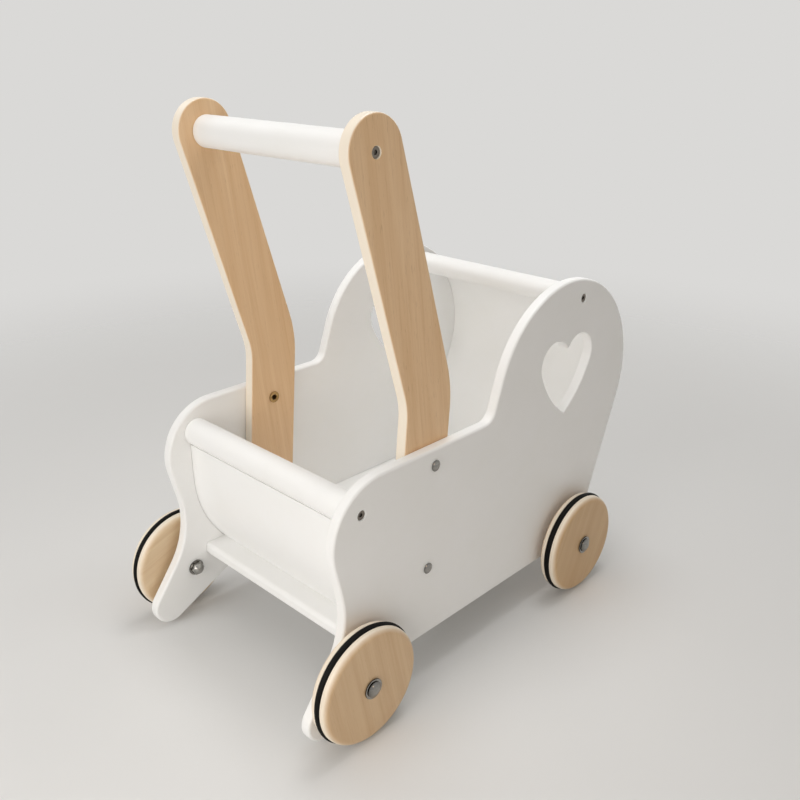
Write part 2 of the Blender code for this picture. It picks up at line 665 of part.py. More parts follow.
def build_corner(body, corner, axle, side):
    """One wheel with its tyre on an empty at the axle, and the fixed parts of its axle bolt."""
    x, z = axle
    spacer_y = PANEL_OUTER_Y + CLEARANCE
    spacer_length = WHEEL_STANDOFF - 2 * CLEARANCE
    wheel_y = PANEL_OUTER_Y + WHEEL_STANDOFF + WHEEL_THICKNESS / 2
    washer_y = wheel_y + WHEEL_THICKNESS / 2 + CLEARANCE
    head_y = washer_y + WASHER_THICKNESS + CLEARANCE
    inner_washer_y = PANEL_INNER_Y - CLEARANCE
    nut_y = inner_washer_y - WASHER_THICKNESS - CLEARANCE
    shank = head_y - nut_y + CAP_NUT_SHOULDER - CLEARANCE
    bolt = dome_bolt_profile(AXLE_BOLT_RADIUS, AXLE_HEAD_RADIUS, AXLE_HEAD_HEIGHT, shank)

    hub = add_empty(f"{corner}_hub", (x, side * wheel_y, z), body)
    wheel = turned_mesh(f"{corner}_wheel", wheel_profile(), LARGE_SEGMENTS, True)
    place(wheel, BIRCH, hub, side=side)
    tyre = turned_mesh(f"{corner}_tyre", tyre_profile(), LARGE_SEGMENTS, True)
    place(tyre, RUBBER, hub, side=side)

    def add_fixed(name, profile, y, facing, ring):
        mesh = turned_mesh(f"{corner}_{name}", profile, SMALL_SEGMENTS, ring)
        place(mesh, ZINC, body, (x, side * y, z), facing)

    add_fixed("axle_bolt", bolt, head_y, side, False)
    add_fixed("hub_washer", washer_profile(HUB_WASHER_RADIUS, WASHER_THICKNESS), washer_y, side, True)
    add_fixed("spacer", washer_profile(SPACER_RADIUS, spacer_length), spacer_y, side, True)
    inner_washer = washer_profile(INNER_WASHER_RADIUS, WASHER_THICKNESS)
    add_fixed("inner_washer", inner_washer, inner_washer_y, -side, True)
    add_fixed("cap_nut", cap_nut_profile(), nut_y, -side, False)


def main():
    for item in list(bpy.data.objects):
        bpy.data.objects.remove(item)
    body = add_empty("stroller_body", (0.0, 0.0, 0.0))
    build_bed(body)
    build_handle(body)
    for end, axle in AXLES.items():
        for name, side in SIDES.items():
            build_corner(body, f"{end}_{name}", axle, side)


main()
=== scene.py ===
"""Looks of a wooden doll stroller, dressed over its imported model.

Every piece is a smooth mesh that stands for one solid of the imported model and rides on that
solid's body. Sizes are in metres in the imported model's frame: +X towards the hood, +Y to the left,
+Z up. Flat pieces are drawn in the XZ plane as tangent circles and carried along Y. Round pieces
are turned about Y.
"""

import json
import logging
import math
from dataclasses import dataclass
from enum import Enum
from typing import Any, ClassVar

import bmesh
import bpy
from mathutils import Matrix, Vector

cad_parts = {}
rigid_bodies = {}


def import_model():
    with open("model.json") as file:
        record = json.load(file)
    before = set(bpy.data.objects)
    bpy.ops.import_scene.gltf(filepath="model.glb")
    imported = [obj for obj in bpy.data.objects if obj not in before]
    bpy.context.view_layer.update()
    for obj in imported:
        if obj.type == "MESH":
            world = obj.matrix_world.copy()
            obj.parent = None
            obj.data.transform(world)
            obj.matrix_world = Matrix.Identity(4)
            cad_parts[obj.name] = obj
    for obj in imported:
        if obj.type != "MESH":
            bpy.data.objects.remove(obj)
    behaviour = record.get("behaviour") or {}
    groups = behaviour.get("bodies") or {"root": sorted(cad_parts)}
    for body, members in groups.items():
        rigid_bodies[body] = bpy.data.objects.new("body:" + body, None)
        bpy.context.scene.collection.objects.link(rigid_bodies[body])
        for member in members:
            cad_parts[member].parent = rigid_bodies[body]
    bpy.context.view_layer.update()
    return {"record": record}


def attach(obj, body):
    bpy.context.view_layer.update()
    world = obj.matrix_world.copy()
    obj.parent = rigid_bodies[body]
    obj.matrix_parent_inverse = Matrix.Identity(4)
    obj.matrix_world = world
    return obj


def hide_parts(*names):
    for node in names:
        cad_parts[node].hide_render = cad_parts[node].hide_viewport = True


for leftover in list(bpy.data.objects):
    bpy.data.objects.remove(leftover)
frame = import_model()

LOG = logging.getLogger("stroller")

MM = 0.001
# Air between pieces that are separate solids
CLEARANCE = 0.3 * MM
# The bolts are all of one size, and so are the bores that they pass through
BOLT_RADIUS = 3 * MM
BOLT_BORE = BOLT_RADIUS + CLEARANCE
# How far a glued edge is pressed into the piece that it meets
GLUED = 0.1 * MM
# Ring round a flat face that keeps it shading flat beside a rounded edge
FLAT_RING = 0.4 * MM
# Circles of an outline that are this near to touching share a point
SAME_PLACE = 0.03 * MM
# Rounding error in an angle
ANGLE_SLACK = 1e-6
# Share of a small rim that the middle of its rounding is cut back by
RIM_MIDDLE = 0.3
# Edges that bend more than this stay crisp
SHARP_ANGLE = math.radians(35)
# Fineness of arcs, of rounded edges, of domes and of turned pieces
ARC_STEP = math.radians(3)
ROUND_STEPS = 6
DOME_STEPS = 10
LARGE_SEGMENTS = 120
SMALL_SEGMENTS = 48

Point = tuple[float, float]
Place = tuple[float, float, float]
Span = tuple[float, float]
Level = tuple[list[Point], float]
Loop = list[bmesh.types.BMEdge]
Tree = bpy.types.NodeTree
Node = bpy.types.Node
Socket = bpy.types.NodeSocket
Material = bpy.types.Material

BODY_OF = {node: body for body, nodes in frame["record"]["behaviour"]["bodies"].items() for node in nodes}


class Side(Enum):
    """Side of the stroller, with the sign of its Y."""

    RIGHT = -1
    LEFT = 1

    @property
    def word(self) -> str:
        """Word that the names of this side's pieces start with."""
        return self.name.lower()

    @property
    def other(self) -> "Side":
        """The opposite side."""
        return Side(-self.value)


class End(Enum):
    """End of the stroller that a wheel is on."""

    REAR = "rear"
    FRONT = "front"


class Turn(Enum):
    """Way an outline bends round a circle."""

    CONVEX = 1
    HOLLOW = -1


class Grain(Enum):
    """Axis that the wood's grain runs along."""

    ALONG_X = (1, 0, 0)
    ALONG_Y = (0, 1, 0)
    ALONG_Z = (0, 0, 1)

    def stretch(self, width: float, length: float) -> Place:
        """Size of a grain mark on each axis, from its width and length."""
        return tuple(length if along else width for along in self.value)


# Turn of the grain of each wheel, as the wheels were cut and put on, and the wheel's two wood tones
WHEEL_WOOD_AND_PAINTED_LIGHT = {
    (End.REAR, Side.RIGHT): (math.radians(12), "#DDBE96", "#D4B187"),
    # Paler tones: painted light, where the far rear wheel catches the window light
    (End.REAR, Side.LEFT): (math.radians(70), "#E6CDA9", "#DDBF99"),
    # Darker tones: painted shade on the near front wheel, furthest from the light
    (End.FRONT, Side.RIGHT): (math.radians(-25), "#D2B185", "#C9A477"),
    (End.FRONT, Side.LEFT): (math.radians(140), "#DDBE96", "#D4B187"),
}


# Outlines


def arc_points(centre: Point, radius: float, start: float, sweep: float) -> list[Point]:
    """Points on a circle, both ends included.

    Args:
        centre: Middle of the circle.
        radius: Its radius.
        start: Angle of the first point.
        sweep: Angle from there to the last point, negative for clockwise.

    Returns:
        The points in order.
    """
    steps = max(2, math.ceil(abs(sweep) / ARC_STEP))
    angles = [start + sweep * step / steps for step in range(steps + 1)]
    return [(centre[0] + radius * math.cos(a), centre[1] + radius * math.sin(a)) for a in angles]


def round_points(centre: Point, radius: float) -> list[Point]:
    """Points round a whole small circle."""
    angles = [math.tau * i / SMALL_SEGMENTS for i in range(SMALL_SEGMENTS)]
    return [(centre[0] + radius * math.cos(a), centre[1] + radius * math.sin(a)) for a in angles]


def quarter_turn(steps: int) -> list[float]:
    """Angles from 0 to a quarter turn."""
    return [math.pi / 2 * step / steps for step in range(steps + 1)]


def beside(point: Point, direction: float, distance: float) -> Point:
    """Point moved by a distance to the left of a direction."""
    return (point[0] - math.sin(direction) * distance, point[1] + math.cos(direction) * distance)


def meeting_point(first: Point, first_reach: float, second: Point, second_reach: float) -> Point:
    """Point at given distances from two others, to the left of the line between them.

    Args:
        first: Point that the line starts from.
        first_reach: Distance from it.
        second: Point that the line runs to.
        second_reach: Distance from it.

    Returns:
        The point.
    """
    length = math.dist(first, second)
    direction = math.atan2(second[1] - first[1], second[0] - first[0])
    along = (first_reach ** 2 - second_reach ** 2 + length ** 2) / (2 * length)
    foot = (first[0] + along * math.cos(direction), first[1] + along * math.sin(direction))
    return beside(foot, direction, math.sqrt(first_reach ** 2 - along ** 2))


@dataclass(frozen=True)
class Circle:
    """Circle that an outline runs round."""

    centre: Point
    radius: float
    turn: Turn = Turn.CONVEX

    @property
    def bend(self) -> float:
        """Radius with the sign of its turn."""
        return self.turn.value * self.radius

    def heading(self, following: "Circle") -> float:
        """Works out the straight line that joins this circle to the next one.

        Args:
            following: The next circle.

        Returns:
            The line's direction.
        """
        (x1, z1), (x2, z2) = self.centre, following.centre
        lean = (self.bend - following.bend) / math.dist(self.centre, following.centre)
        return math.atan2(z2 - z1, x2 - x1) + math.asin(max(-1.0, min(1.0, lean)))

    def touches(self, following: "Circle") -> bool:
        """Whether the outline passes to the next circle with no straight line between."""
        distance = math.dist(self.centre, following.centre)
        return distance ** 2 - (self.bend - following.bend) ** 2 < SAME_PLACE ** 2


@dataclass(frozen=True)
class Outline:
    """Closed outline that runs anticlockwise round its circles like a belt."""

    circles: tuple[Circle, ...]

    def points(self, inset: float = 0.0) -> list[Point]:
        """Points along the outline.

        Args:
            inset: How far the whole outline is moved inwards.

        Returns:
            As many points for every inset, so that outlines can be joined.
        """
        count = len(self.circles)
        headings = [c.heading(self.circles[(i + 1) % count]) for i, c in enumerate(self.circles)]
        points = []
        for i, circle in enumerate(self.circles):
            turn = circle.turn.value
            sweep = (turn * (headings[i] - headings[i - 1])) % math.tau
            if sweep > math.tau - ANGLE_SLACK:
                sweep = 0.0
            start = headings[i - 1] - turn * math.pi / 2
            run = arc_points(circle.centre, circle.radius - turn * inset, start, turn * sweep)
            points += run[1:] if self.circles[i - 1].touches(circle) else run
        return points

    def rounded(self, start: float, end: float, radius: float, hole: bool = False) -> list[Level]:
        """Levels of a plate or a hole whose two edges are rounded over.

        Args:
            start: Y of the first face.
            end: Y of the last face.
            radius: Radius of the round-over.
            hole: Whether the outline is cut out instead of left standing.

        Returns:
            Outlines with their Y, each flat edged with a narrow ring so that it shades flat.
        """
        grow = -1 if hole else 1
        side = 1 if end > start else -1
        bands = [(radius + FLAT_RING, 0.0)]
        bands += [(radius * (1 - math.sin(a)), radius * (1 - math.cos(a))) for a in quarter_turn(ROUND_STEPS)]
        bands += [(0.0, radius + FLAT_RING)]
        first = [(self.points(grow * back), start + side * deep) for back, deep in bands]
        last = [(outline, start + end - y) for outline, y in first]
        return first + last[::-1]


@dataclass(frozen=True)
class Row:
    """Ring of a turned piece: its radius, its place along the axis, and whether it is a hexagon."""

    radius: float
    y: float
    hexagon: bool = False

    def reach(self, angle: float) -> float:
        """Works out how far the ring is from the axis; a hexagon's radius is to its corners.

        Args:
            angle: Angle round the axis.

        Returns:
            The distance.
        """
        if not self.hexagon:
            return self.radius
        return self.radius * math.cos(math.pi / 6) / math.cos(angle % (math.pi / 3) - math.pi / 6)


def mirrored(rows: list[Row]) -> list[Row]:
    """Rows on the other side of y = 0, in the order that carries on from the given ones."""
    return [Row(row.radius, -row.y, row.hexagon) for row in rows[::-1]]


def dome_rows(radius: float, base: float, top: float) -> list[Row]:
    """Rows of a head domed like a ball.

    Args:
        radius: Radius at the dome's rim.
        base: Y of the rim.
        top: Y of the top on the axis.

    Returns:
        Rows from the rim to the top.
    """
    height = top - base
    ball = (radius ** 2 + height ** 2) / (2 * height)
    turns = [math.asin(radius / ball) * step / DOME_STEPS for step in range(DOME_STEPS, 0, -1)]
    rows = [Row(ball * math.sin(a), top - ball * (1 - math.cos(a))) for a in turns]
    return rows + [Row(0.0, top)]


def put(name: str, data: bpy.types.ID, place: Place, turn: Place = (0.0, 0.0, 0.0)) -> bpy.types.Object:
    """Adds an object to the scene.

    Args:
        name: Name of the object.
        data: Its mesh, light or camera.
        place: Where its origin goes.
        turn: Its turn about X, Y and Z.

    Returns:
        The object.
    """
    made = bpy.data.objects.new(name, data)
    made.location = place
    made.rotation_euler = turn
    bpy.context.collection.objects.link(made)
    return made


class Skin:
    """Closed skin of one piece, put together from walls, flat faces and turned rows."""

    def __init__(self) -> None:
        """Starts with no faces."""
        self.bm = bmesh.new()

    def wall(self, levels: list[Level]) -> tuple[Loop, Loop]:
        """Adds a wall through outlines at several Y levels.

        Args:
            levels: Outlines of as many points, each with its Y.

        Returns:
            Edges of the first and of the last outline.
        """
        rings = [[self.bm.verts.new((x, y, z)) for x, z in outline] for outline, y in levels]
        for lower, upper in zip(rings, rings[1:]):
            for i in range(len(lower)):
                self.bm.faces.new((lower[i - 1], lower[i], upper[i], upper[i - 1]))
        ends = (rings[0], rings[-1])
        first, last = ([self.bm.edges.get((r[i - 1], r[i])) for i in range(len(r))] for r in ends)
        return first, last

    def fill(self, *loops: Loop) -> None:
        """Adds the flat face inside the first loop and outside the others."""
        edges = [edge for loop in loops for edge in loop]
        bmesh.ops.triangle_fill(self.bm, use_beauty=True, use_dissolve=False, edges=edges)

    def turn(self, rows: list[Row], segments: int) -> None:
        """Adds a surface turned about Y.

        Args:
            rows: Rings in order along the section, which closes on itself unless it starts on the axis.
            segments: Number of faces round the axis.
        """
        angles = [math.tau * i / segments for i in range(segments)]
        rings = []
        for row in rows:
            if row.radius > 0.0:
                places = [(row.reach(a) * math.cos(a), row.y, row.reach(a) * math.sin(a)) for a in angles]
                rings.append([self.bm.verts.new(place) for place in places])
            else:
                rings.append([self.bm.verts.new((0.0, row.y, 0.0))] * segments)
        pairs = list(zip(rings, rings[1:]))
        if rows[0].radius > 0.0:
            pairs.append((rings[-1], rings[0]))
        for lower, upper in pairs:
            for i in range(segments):
                corners = (lower[i - 1], lower[i], upper[i], upper[i - 1])
                self.bm.faces.new(list(dict.fromkeys(corners)))

    def dress(
        self, node: str, material: Material, place: Place = (0.0, 0.0, 0.0), facing: Side = Side.LEFT
    ) -> None:
        """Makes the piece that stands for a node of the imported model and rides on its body.

        Args:
            node: Node that the piece stands for.
            material: Finish of the piece.
            place: Where the skin's origin goes.
            facing: Side that the skin's +Y faces.
        """
        bmesh.ops.recalc_face_normals(self.bm, faces=self.bm.faces)
        mesh = bpy.data.meshes.new(f"{node}_dressed")
        self.bm.to_mesh(mesh)
        self.bm.free()
        mesh.shade_smooth()
        mesh.set_sharp_from_angle(angle=SHARP_ANGLE)
        mesh.materials.append(material)
        piece = put(mesh.name, mesh, place, (0.0, 0.0, math.pi if facing is Side.RIGHT else 0.0))
        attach(piece, BODY_OF[node])
        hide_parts(node)
        LOG.info("%s: %d faces, on %s", piece.name, len(mesh.polygons), BODY_OF[node])


# Finishes


def colour(code: str) -> tuple[float, float, float, float]:
    """Turns an sRGB hex value into a colour for shaders.

    Args:
        code: Hex value such as #F0EEE9.

    Returns:
        Linear red, green and blue, with a full alpha.
    """
    parts = [int(code[i:i + 2], 16) / 255 for i in (1, 3, 5)]
    linear = [p / 12.92 if p <= 0.04045 else ((p + 0.055) / 1.055) ** 2.4 for p in parts]
    return (*linear, 1.0)


def add_node(tree: Tree, kind: str, inputs: dict[str | int, Any] | None = None, **settings: Any) -> Node:
    """Adds a shader node.

    Args:
        tree: Tree that the node goes into.
        kind: Blender's name for the kind of node.
        inputs: Values for its sockets, or other nodes' outputs to link to them.
        settings: Values for the node's own settings.

    Returns:
        The node.
    """
    made = tree.nodes.new(kind)
    for name, value in settings.items():
        setattr(made, name, value)
    for key, value in (inputs or {}).items():
        if isinstance(value, Socket):
            tree.links.new(value, made.inputs[key])
        else:
            made.inputs[key].default_value = value
    return made


def blend(
    tree: Tree, value: Socket, span: Span, first: str | Socket, second: str, most: float = 1.0
) -> Socket:
    """Adds nodes that mix a second colour into a first as a value crosses a span.

    Args:
        tree: Tree that the nodes go into.
        value: Value that rules the mix.
        span: Values where the second colour starts to show and where it shows most.
        first: Hex colour, or the colour mixed so far.
        second: Hex colour.
        most: Largest share of the second colour.

    Returns:
        The mixed colour.
    """
    limits = {"Value": value, "From Min": span[0], "From Max": span[1], "To Max": most}
    share = add_node(tree, "ShaderNodeMapRange", limits)
    under = colour(first) if isinstance(first, str) else first
    mixed = {0: share.outputs[0], 6: under, 7: colour(second)}
    return add_node(tree, "ShaderNodeMix", mixed, data_type="RGBA").outputs[2]


def flatness(tree: Tree) -> Socket:
    """Adds nodes that tell a piece's flat faces from its rims and edges.

    Args:
        tree: Tree that the nodes go into.

    Returns:
        1 where the surface faces along Y, falling to 0 where it faces across.
    """
    normal = add_node(tree, "ShaderNodeTexCoord").outputs["Normal"]
    along_y = add_node(tree, "ShaderNodeSeparateXYZ", {0: normal}).outputs["Y"]
    return add_node(tree, "ShaderNodeMath", {0: along_y}, operation="ABSOLUTE").outputs[0]


@dataclass(frozen=True)
class Marks:
    """Soft marks strewn over a surface, such as clouds, fibres or pores.

    The size is that of a mark along each axis. Detail, roughness and distortion are those of the
    noise that draws the marks. Lean turns them about Y, and shift moves them all.
    """

    size: Place
    detail: float = 2.0
    roughness: float = 0.5
    distortion: float = 0.0
    lean: float = 0.0
    shift: Place = (0.0, 0.0, 0.0)

    def draw(self, tree: Tree) -> Socket:
        """Adds the nodes that draw the marks.

        Args:
            tree: Tree that the nodes go into.

        Returns:
            How strongly the marks show, from 0 to 1.
        """
        spot = add_node(
            tree,
            "ShaderNodeMapping",
            {
                "Vector": add_node(tree, "ShaderNodeTexCoord").outputs["Object"],
                "Location": self.shift,
                "Rotation": (0.0, self.lean, 0.0),
                "Scale": self.size,
            },
            vector_type="TEXTURE",
        )
        noise = add_node(
            tree,
            "ShaderNodeTexNoise",
            {
                "Vector": spot.outputs[0],
                "Scale": 1.0,
                "Detail": self.detail,
                "Roughness": self.roughness,
                "Distortion": self.distortion,
            },
        )
        return noise.outputs[0]


@dataclass(frozen=True)
class Finish:
    """Surface finish that makes its own material."""

    name: str

    def material(self) -> Material:
        """Makes the material.

        Returns:
            The material.
        """
        made = bpy.data.materials.new(self.name)
        made.use_nodes = True
        self.lay(made.node_tree, made.node_tree.nodes["Principled BSDF"])
        return made

    def lay(self, tree: Tree, shader: Node) -> None:
        """Adds the nodes that feed the shader."""
        raise NotImplementedError


@dataclass(frozen=True)
class MarkedFinish(Finish):
    """Finish whose colour, sheen and bumps follow marks.

    The sheen is the roughness where the surface is glossiest and where it is dullest, and relief is
    the strength of the bumps. A span holds the marks' value where a change starts to show and where
    it shows most.
    """

    sheen: Span = (0.3, 0.5)
    sheen_span: Span = (0.3, 0.7)
    relief: float = 0.5

    def feed(self, shader: Node, tint: Socket, dulled: Socket, *raised: tuple[Socket, float]) -> None:
        """Feeds a shader with its colour, roughness and bumps.

        Args:
            shader: Shader of the material.
            tint: Colour.
            dulled: Marks that take the surface from glossy to dull.
            raised: Marks that stand out, each with its height.
        """
        tree = shader.id_data
        (low, high), (glossy, dull) = self.sheen_span, self.sheen
        limits = {"Value": dulled, "From Min": low, "From Max": high, "To Min": glossy, "To Max": dull}
        roughness = add_node(tree, "ShaderNodeMapRange", limits).outputs[0]
        normal = {}
        for marks, height in raised:
            bump = {"Height": marks, "Distance": height, "Strength": self.relief, **normal}
            normal = {"Normal": add_node(tree, "ShaderNodeBump", bump).outputs[0]}
        for name, value in {"Base Color": tint, "Roughness": roughness, **normal}.items():
            tree.links.new(value, shader.inputs[name])


@dataclass(frozen=True)
class SatinEnamel(MarkedFinish):
    """White satin enamel sprayed over sanded plywood or beech.

    The eye gets an even, slightly warm white with a soft sheen. The coat is a little thinner in
    cloudy patches, the spray leaves shallow dimples, and the wood under it lifts faint lines.
    """

    sheen: Span = (0.34, 0.46)
    grain: Grain = Grain.ALONG_X
    full_coat: str = "#FBFBFA"
    thin_coat: str = "#F8F8F6"
    thin_span: Span = (0.35, 0.68)
    cloud_size: float = 55 * MM
    # Real spray dimples are about 1 mm across, too fine to show here, so they are drawn at 3 mm.
    dimple_size: float = 3 * MM
    dimple_depth: float = 0.05 * MM
    # Raised grain is about 0.5 mm wide, drawn at 2 mm to show.
    line_width: float = 2 * MM
    line_length: float = 90 * MM
    line_depth: float = 0.04 * MM
    ior: float = 1.48

    def lay(self, tree: Tree, shader: Node) -> None:
        """Feeds the shader with cloudy colour and sheen, dimples and grain lines.

        Args:
            tree: The material's node tree.
            shader: Its shader.
        """
        line_size = self.grain.stretch(self.line_width, self.line_length)
        clouds = Marks((self.cloud_size,) * 3, detail=4.0, roughness=0.6).draw(tree)
        dimples = Marks((self.dimple_size,) * 3, detail=1.0).draw(tree)
        lines = Marks(line_size, detail=3.0, distortion=0.4).draw(tree)
        coat = blend(tree, clouds, self.thin_span, self.full_coat, self.thin_coat)
        self.feed(shader, coat, clouds, (lines, self.line_depth), (dimples, self.dimple_depth))
        shader.inputs["IOR"].default_value = self.ior


@dataclass(frozen=True)
class LacqueredBirch(MarkedFinish):
    """Birch, planed, sanded and coated with clear satin lacquer.

    The eye gets a pale honey colour with soft streaks along the grain, fine fibres, short darker
    pores and a thin even sheen over all of it. Edges and rims are painted creamy as a painted highlight.
    """

    sheen: Span = (0.36, 0.50)
    lean: float = 0.0
    board_place: Place = (0.0, 0.0, 0.0)
    pale: str = "#F3D0A6"
    honey: str = "#E8C091"
    fibre: str = "#DAAF7F"
    pore: str = "#B08458"
    # Creamy tone painted on edges and rims: a painted highlight
    edge: str = "#FCF3E3"
    streak_span: Span = (0.33, 0.67)
    fibre_span: Span = (0.5, 0.75)
    pore_span: Span = (0.66, 0.74)
    edge_span: Span = (0.95, 0.4)
    fibre_share: float = 0.42
    pore_share: float = 0.28
    edge_share: float = 0.9
    streak_width: float = 11 * MM
    streak_length: float = 260 * MM
    # Birch fibres lie about 0.3 mm apart, too fine to show here, so they are drawn at 1.3 mm.
    fibre_width: float = 1.3 * MM
    fibre_length: float = 70 * MM
    # Pores are 0.1 mm wide and a few mm long, drawn at 0.7 mm to show.
    pore_width: float = 0.7 * MM
    pore_length: float = 9 * MM
    fibre_depth: float = 0.06 * MM
    ior: float = 1.50
    coat: float = 0.15
    coat_roughness: float = 0.30

    def lay(self, tree: Tree, shader: Node) -> None:
        """Feeds the shader with streaks, fibres and pores along the grain, and a painted highlight on edges.

        Args:
            tree: The material's node tree.
            shader: Its shader.
        """
        kinds = (
            (self.streak_width, self.streak_length, {"detail": 3.0, "roughness": 0.55, "distortion": 0.5}),
            (self.fibre_width, self.fibre_length, {"detail": 3.0, "roughness": 0.6, "distortion": 0.2}),
            (self.pore_width, self.pore_length, {"detail": 1.0}),
        )
        streaks, fibres, pores = (
            Marks((width, width, length), lean=self.lean, shift=self.board_place, **noise).draw(tree)
            for width, length, noise in kinds
        )
        wood = blend(tree, streaks, self.streak_span, self.pale, self.honey)
        wood = blend(tree, fibres, self.fibre_span, wood, self.fibre, self.fibre_share)
        wood = blend(tree, pores, self.pore_span, wood, self.pore, self.pore_share)
        # Painted highlight: edges and rims turn creamy as the surface turns away from Y
        wood = blend(tree, flatness(tree), self.edge_span, wood, self.edge, self.edge_share)
        self.feed(shader, wood, fibres, (fibres, self.fibre_depth))
        shader.inputs["IOR"].default_value = self.ior
        shader.inputs["Coat Weight"].default_value = self.coat
        shader.inputs["Coat Roughness"].default_value = self.coat_roughness


@dataclass(frozen=True)
class MouldedRubber(MarkedFinish):
    """Black nitrile rubber ring, as it comes from the mould.

    The eye gets a dull near-black with a faint grey bloom in patches and a fine pebbly skin.
    """

    sheen: Span = (0.48, 0.66)
    relief: float = 0.4
    black: str = "#070604"
    bloom: str = "#0C0B09"
    bloom_span: Span = (0.42, 0.72)
    bloom_size: float = 14 * MM
    # Mould texture is about 0.2 mm, drawn at 1 mm to show.
    pebble_size: float = 1.0 * MM
    pebble_depth: float = 0.05 * MM
    ior: float = 1.52
    shine: float = 0.12

    def lay(self, tree: Tree, shader: Node) -> None:
        """Feeds the shader with bloom and pebbles.

        Args:
            tree: The material's node tree.
            shader: Its shader.
        """
        patches = Marks((self.bloom_size,) * 3, detail=5.0, roughness=0.65).draw(tree)
        pebbles = Marks((self.pebble_size,) * 3).draw(tree)
        skin = blend(tree, patches, self.bloom_span, self.black, self.bloom)
        self.feed(shader, skin, patches, (pebbles, self.pebble_depth))
        shader.inputs["IOR"].default_value = self.ior
        shader.inputs["Specular IOR Level"].default_value = self.shine


@dataclass(frozen=True)
class PlatedMetal(MarkedFinish):
    """Steel hardware with a thin plated or blackened skin.

    The eye gets bright metal broken by faint stains of a second tint and by a fine tumbled grain
    that blurs what it mirrors. Its rims and the flanks of its domes are painted dark, a painted shade.
    """

    sheen: Span = (0.10, 0.20)
    relief: float = 0.3
    bright: str = "#A8A6A2"
    stain: str = "#8C8983"
    # Dark tint painted on rims and the flanks of domes: painted shade
    rim: str = "#24211E"
    stain_span: Span = (0.0, 1.0)
    rim_span: Span = (0.97, 0.6)
    rim_share: float = 0.9
    stain_size: float = 4 * MM
    # Tumbling marks are about 0.1 mm, drawn at 0.6 mm to show.
    mark_size: float = 0.6 * MM
    mark_depth: float = 0.015 * MM

    def lay(self, tree: Tree, shader: Node) -> None:
        """Feeds the shader with stains, painted shade on the rims and tumbling marks.

        Args:
            tree: The material's node tree.
            shader: Its shader.
        """
        stains = Marks((self.stain_size,) * 3, detail=4.0).draw(tree)
        tumbled = Marks((self.mark_size,) * 3).draw(tree)
        tint = blend(tree, stains, self.stain_span, self.bright, self.stain)
        # Painted shade: rims and dome flanks darken as the surface turns away from Y
        tint = blend(tree, flatness(tree), self.rim_span, tint, self.rim, self.rim_share)
        self.feed(shader, tint, stains, (tumbled, self.mark_depth))
        shader.inputs["Metallic"].default_value = 1.0


@dataclass(frozen=True)
class StudioPaper(Finish):
    """Matt pale paper that the stroller stands on.

    The eye gets a plain light grey that fades into the background some way off.
    """

    tone: str = "#E4E4E3"
    fade_from: float = 0.35
    fade_to: float = 1.4
    roughness: float = 0.85
    shine: float = 0.2

    def lay(self, tree: Tree, shader: Node) -> None:
        """Feeds the shader with its tone and lets the far paper fade out.

        Args:
            tree: The material's node tree.
            shader: Its shader.
        """
        place = add_node(tree, "ShaderNodeTexCoord").outputs["Object"]
        away = add_node(tree, "ShaderNodeVectorMath", {0: place}, operation="LENGTH").outputs["Value"]
        limits = {"Value": away, "From Min": self.fade_to, "From Max": self.fade_from}
        shown = add_node(tree, "ShaderNodeMapRange", limits, interpolation_type="SMOOTHSTEP")
        tree.links.new(shown.outputs[0], shader.inputs["Alpha"])
        shader.inputs["Base Color"].default_value = colour(self.tone)
        shader.inputs["Roughness"].default_value = self.roughness
        shader.inputs["Specular IOR Level"].default_value = self.shine


class Finishes:
    """Materials of the stroller, each made once."""

    def __init__(self) -> None:
        """Makes every material."""
        self.panel_white = SatinEnamel("satin_enamel_on_panels").material()
        self.bar_white = SatinEnamel("satin_enamel_on_round_bars", grain=Grain.ALONG_Y).material()
        self.sheet_white = SatinEnamel("satin_enamel_on_bent_sheets", grain=Grain.ALONG_Z).material()
        self.arm_birch = LacqueredBirch("lacquered_birch_arms", lean=math.radians(-7)).material()
        self.wheel_birch = {
            (end, side): LacqueredBirch(
                f"lacquered_birch_{end.value}_{side.word}_wheel",
                lean=lean,
                # The lean, taken as a distance, also says where in the board the wheel was cut.
                board_place=(0.0, lean, 0.0),
                pale=pale,
                honey=honey,
                fibre="#C6A275",
                fibre_share=0.28,
                pore_share=0.18,
                edge_share=0.75,
                streak_width=8 * MM,
                fibre_depth=0.04 * MM,
            ).material()
            for (end, side), (lean, pale, honey) in WHEEL_WOOD_AND_PAINTED_LIGHT.items()
        }
        self.rubber = MouldedRubber("moulded_black_rubber").material()
        self.zinc = PlatedMetal("zinc_plated_steel").material()
        # Cap nuts: a brighter copy of the zinc, a painted highlight, with less of the painted rim shade
        self.nut_zinc = PlatedMetal(
            "zinc_plated_nuts", bright="#C2C0BC", stain="#A4A19B", rim_share=0.3
        ).material()
        self.dark_steel = PlatedMetal(
            "black_oxide_steel", sheen=(0.32, 0.48), bright="#8C857C", stain="#706A62"
        ).material()
        self.brass = PlatedMetal(
            "brass_plated_steel", sheen=(0.28, 0.42), bright="#C9A56E", stain="#A9875A", rim_share=0.5
        ).material()


# Turned pieces


class TurnedPiece:
    """Piece turned about Y."""

    segments: ClassVar[int] = SMALL_SEGMENTS

    def rows(self) -> list[Row]:
        """Rows in order along the section."""
        raise NotImplementedError

    def dress(self, node: str, material: Material, place: Place, facing: Side = Side.LEFT) -> None:
        """Builds the piece and dresses it.

        Args:
            node: Node that the piece stands for.
            material: Finish of the piece.
            place: Where its origin goes.
            facing: Side that its +Y faces.
        """
        skin = Skin()
        skin.turn(self.rows(), self.segments)
        skin.dress(node, material, place, facing)


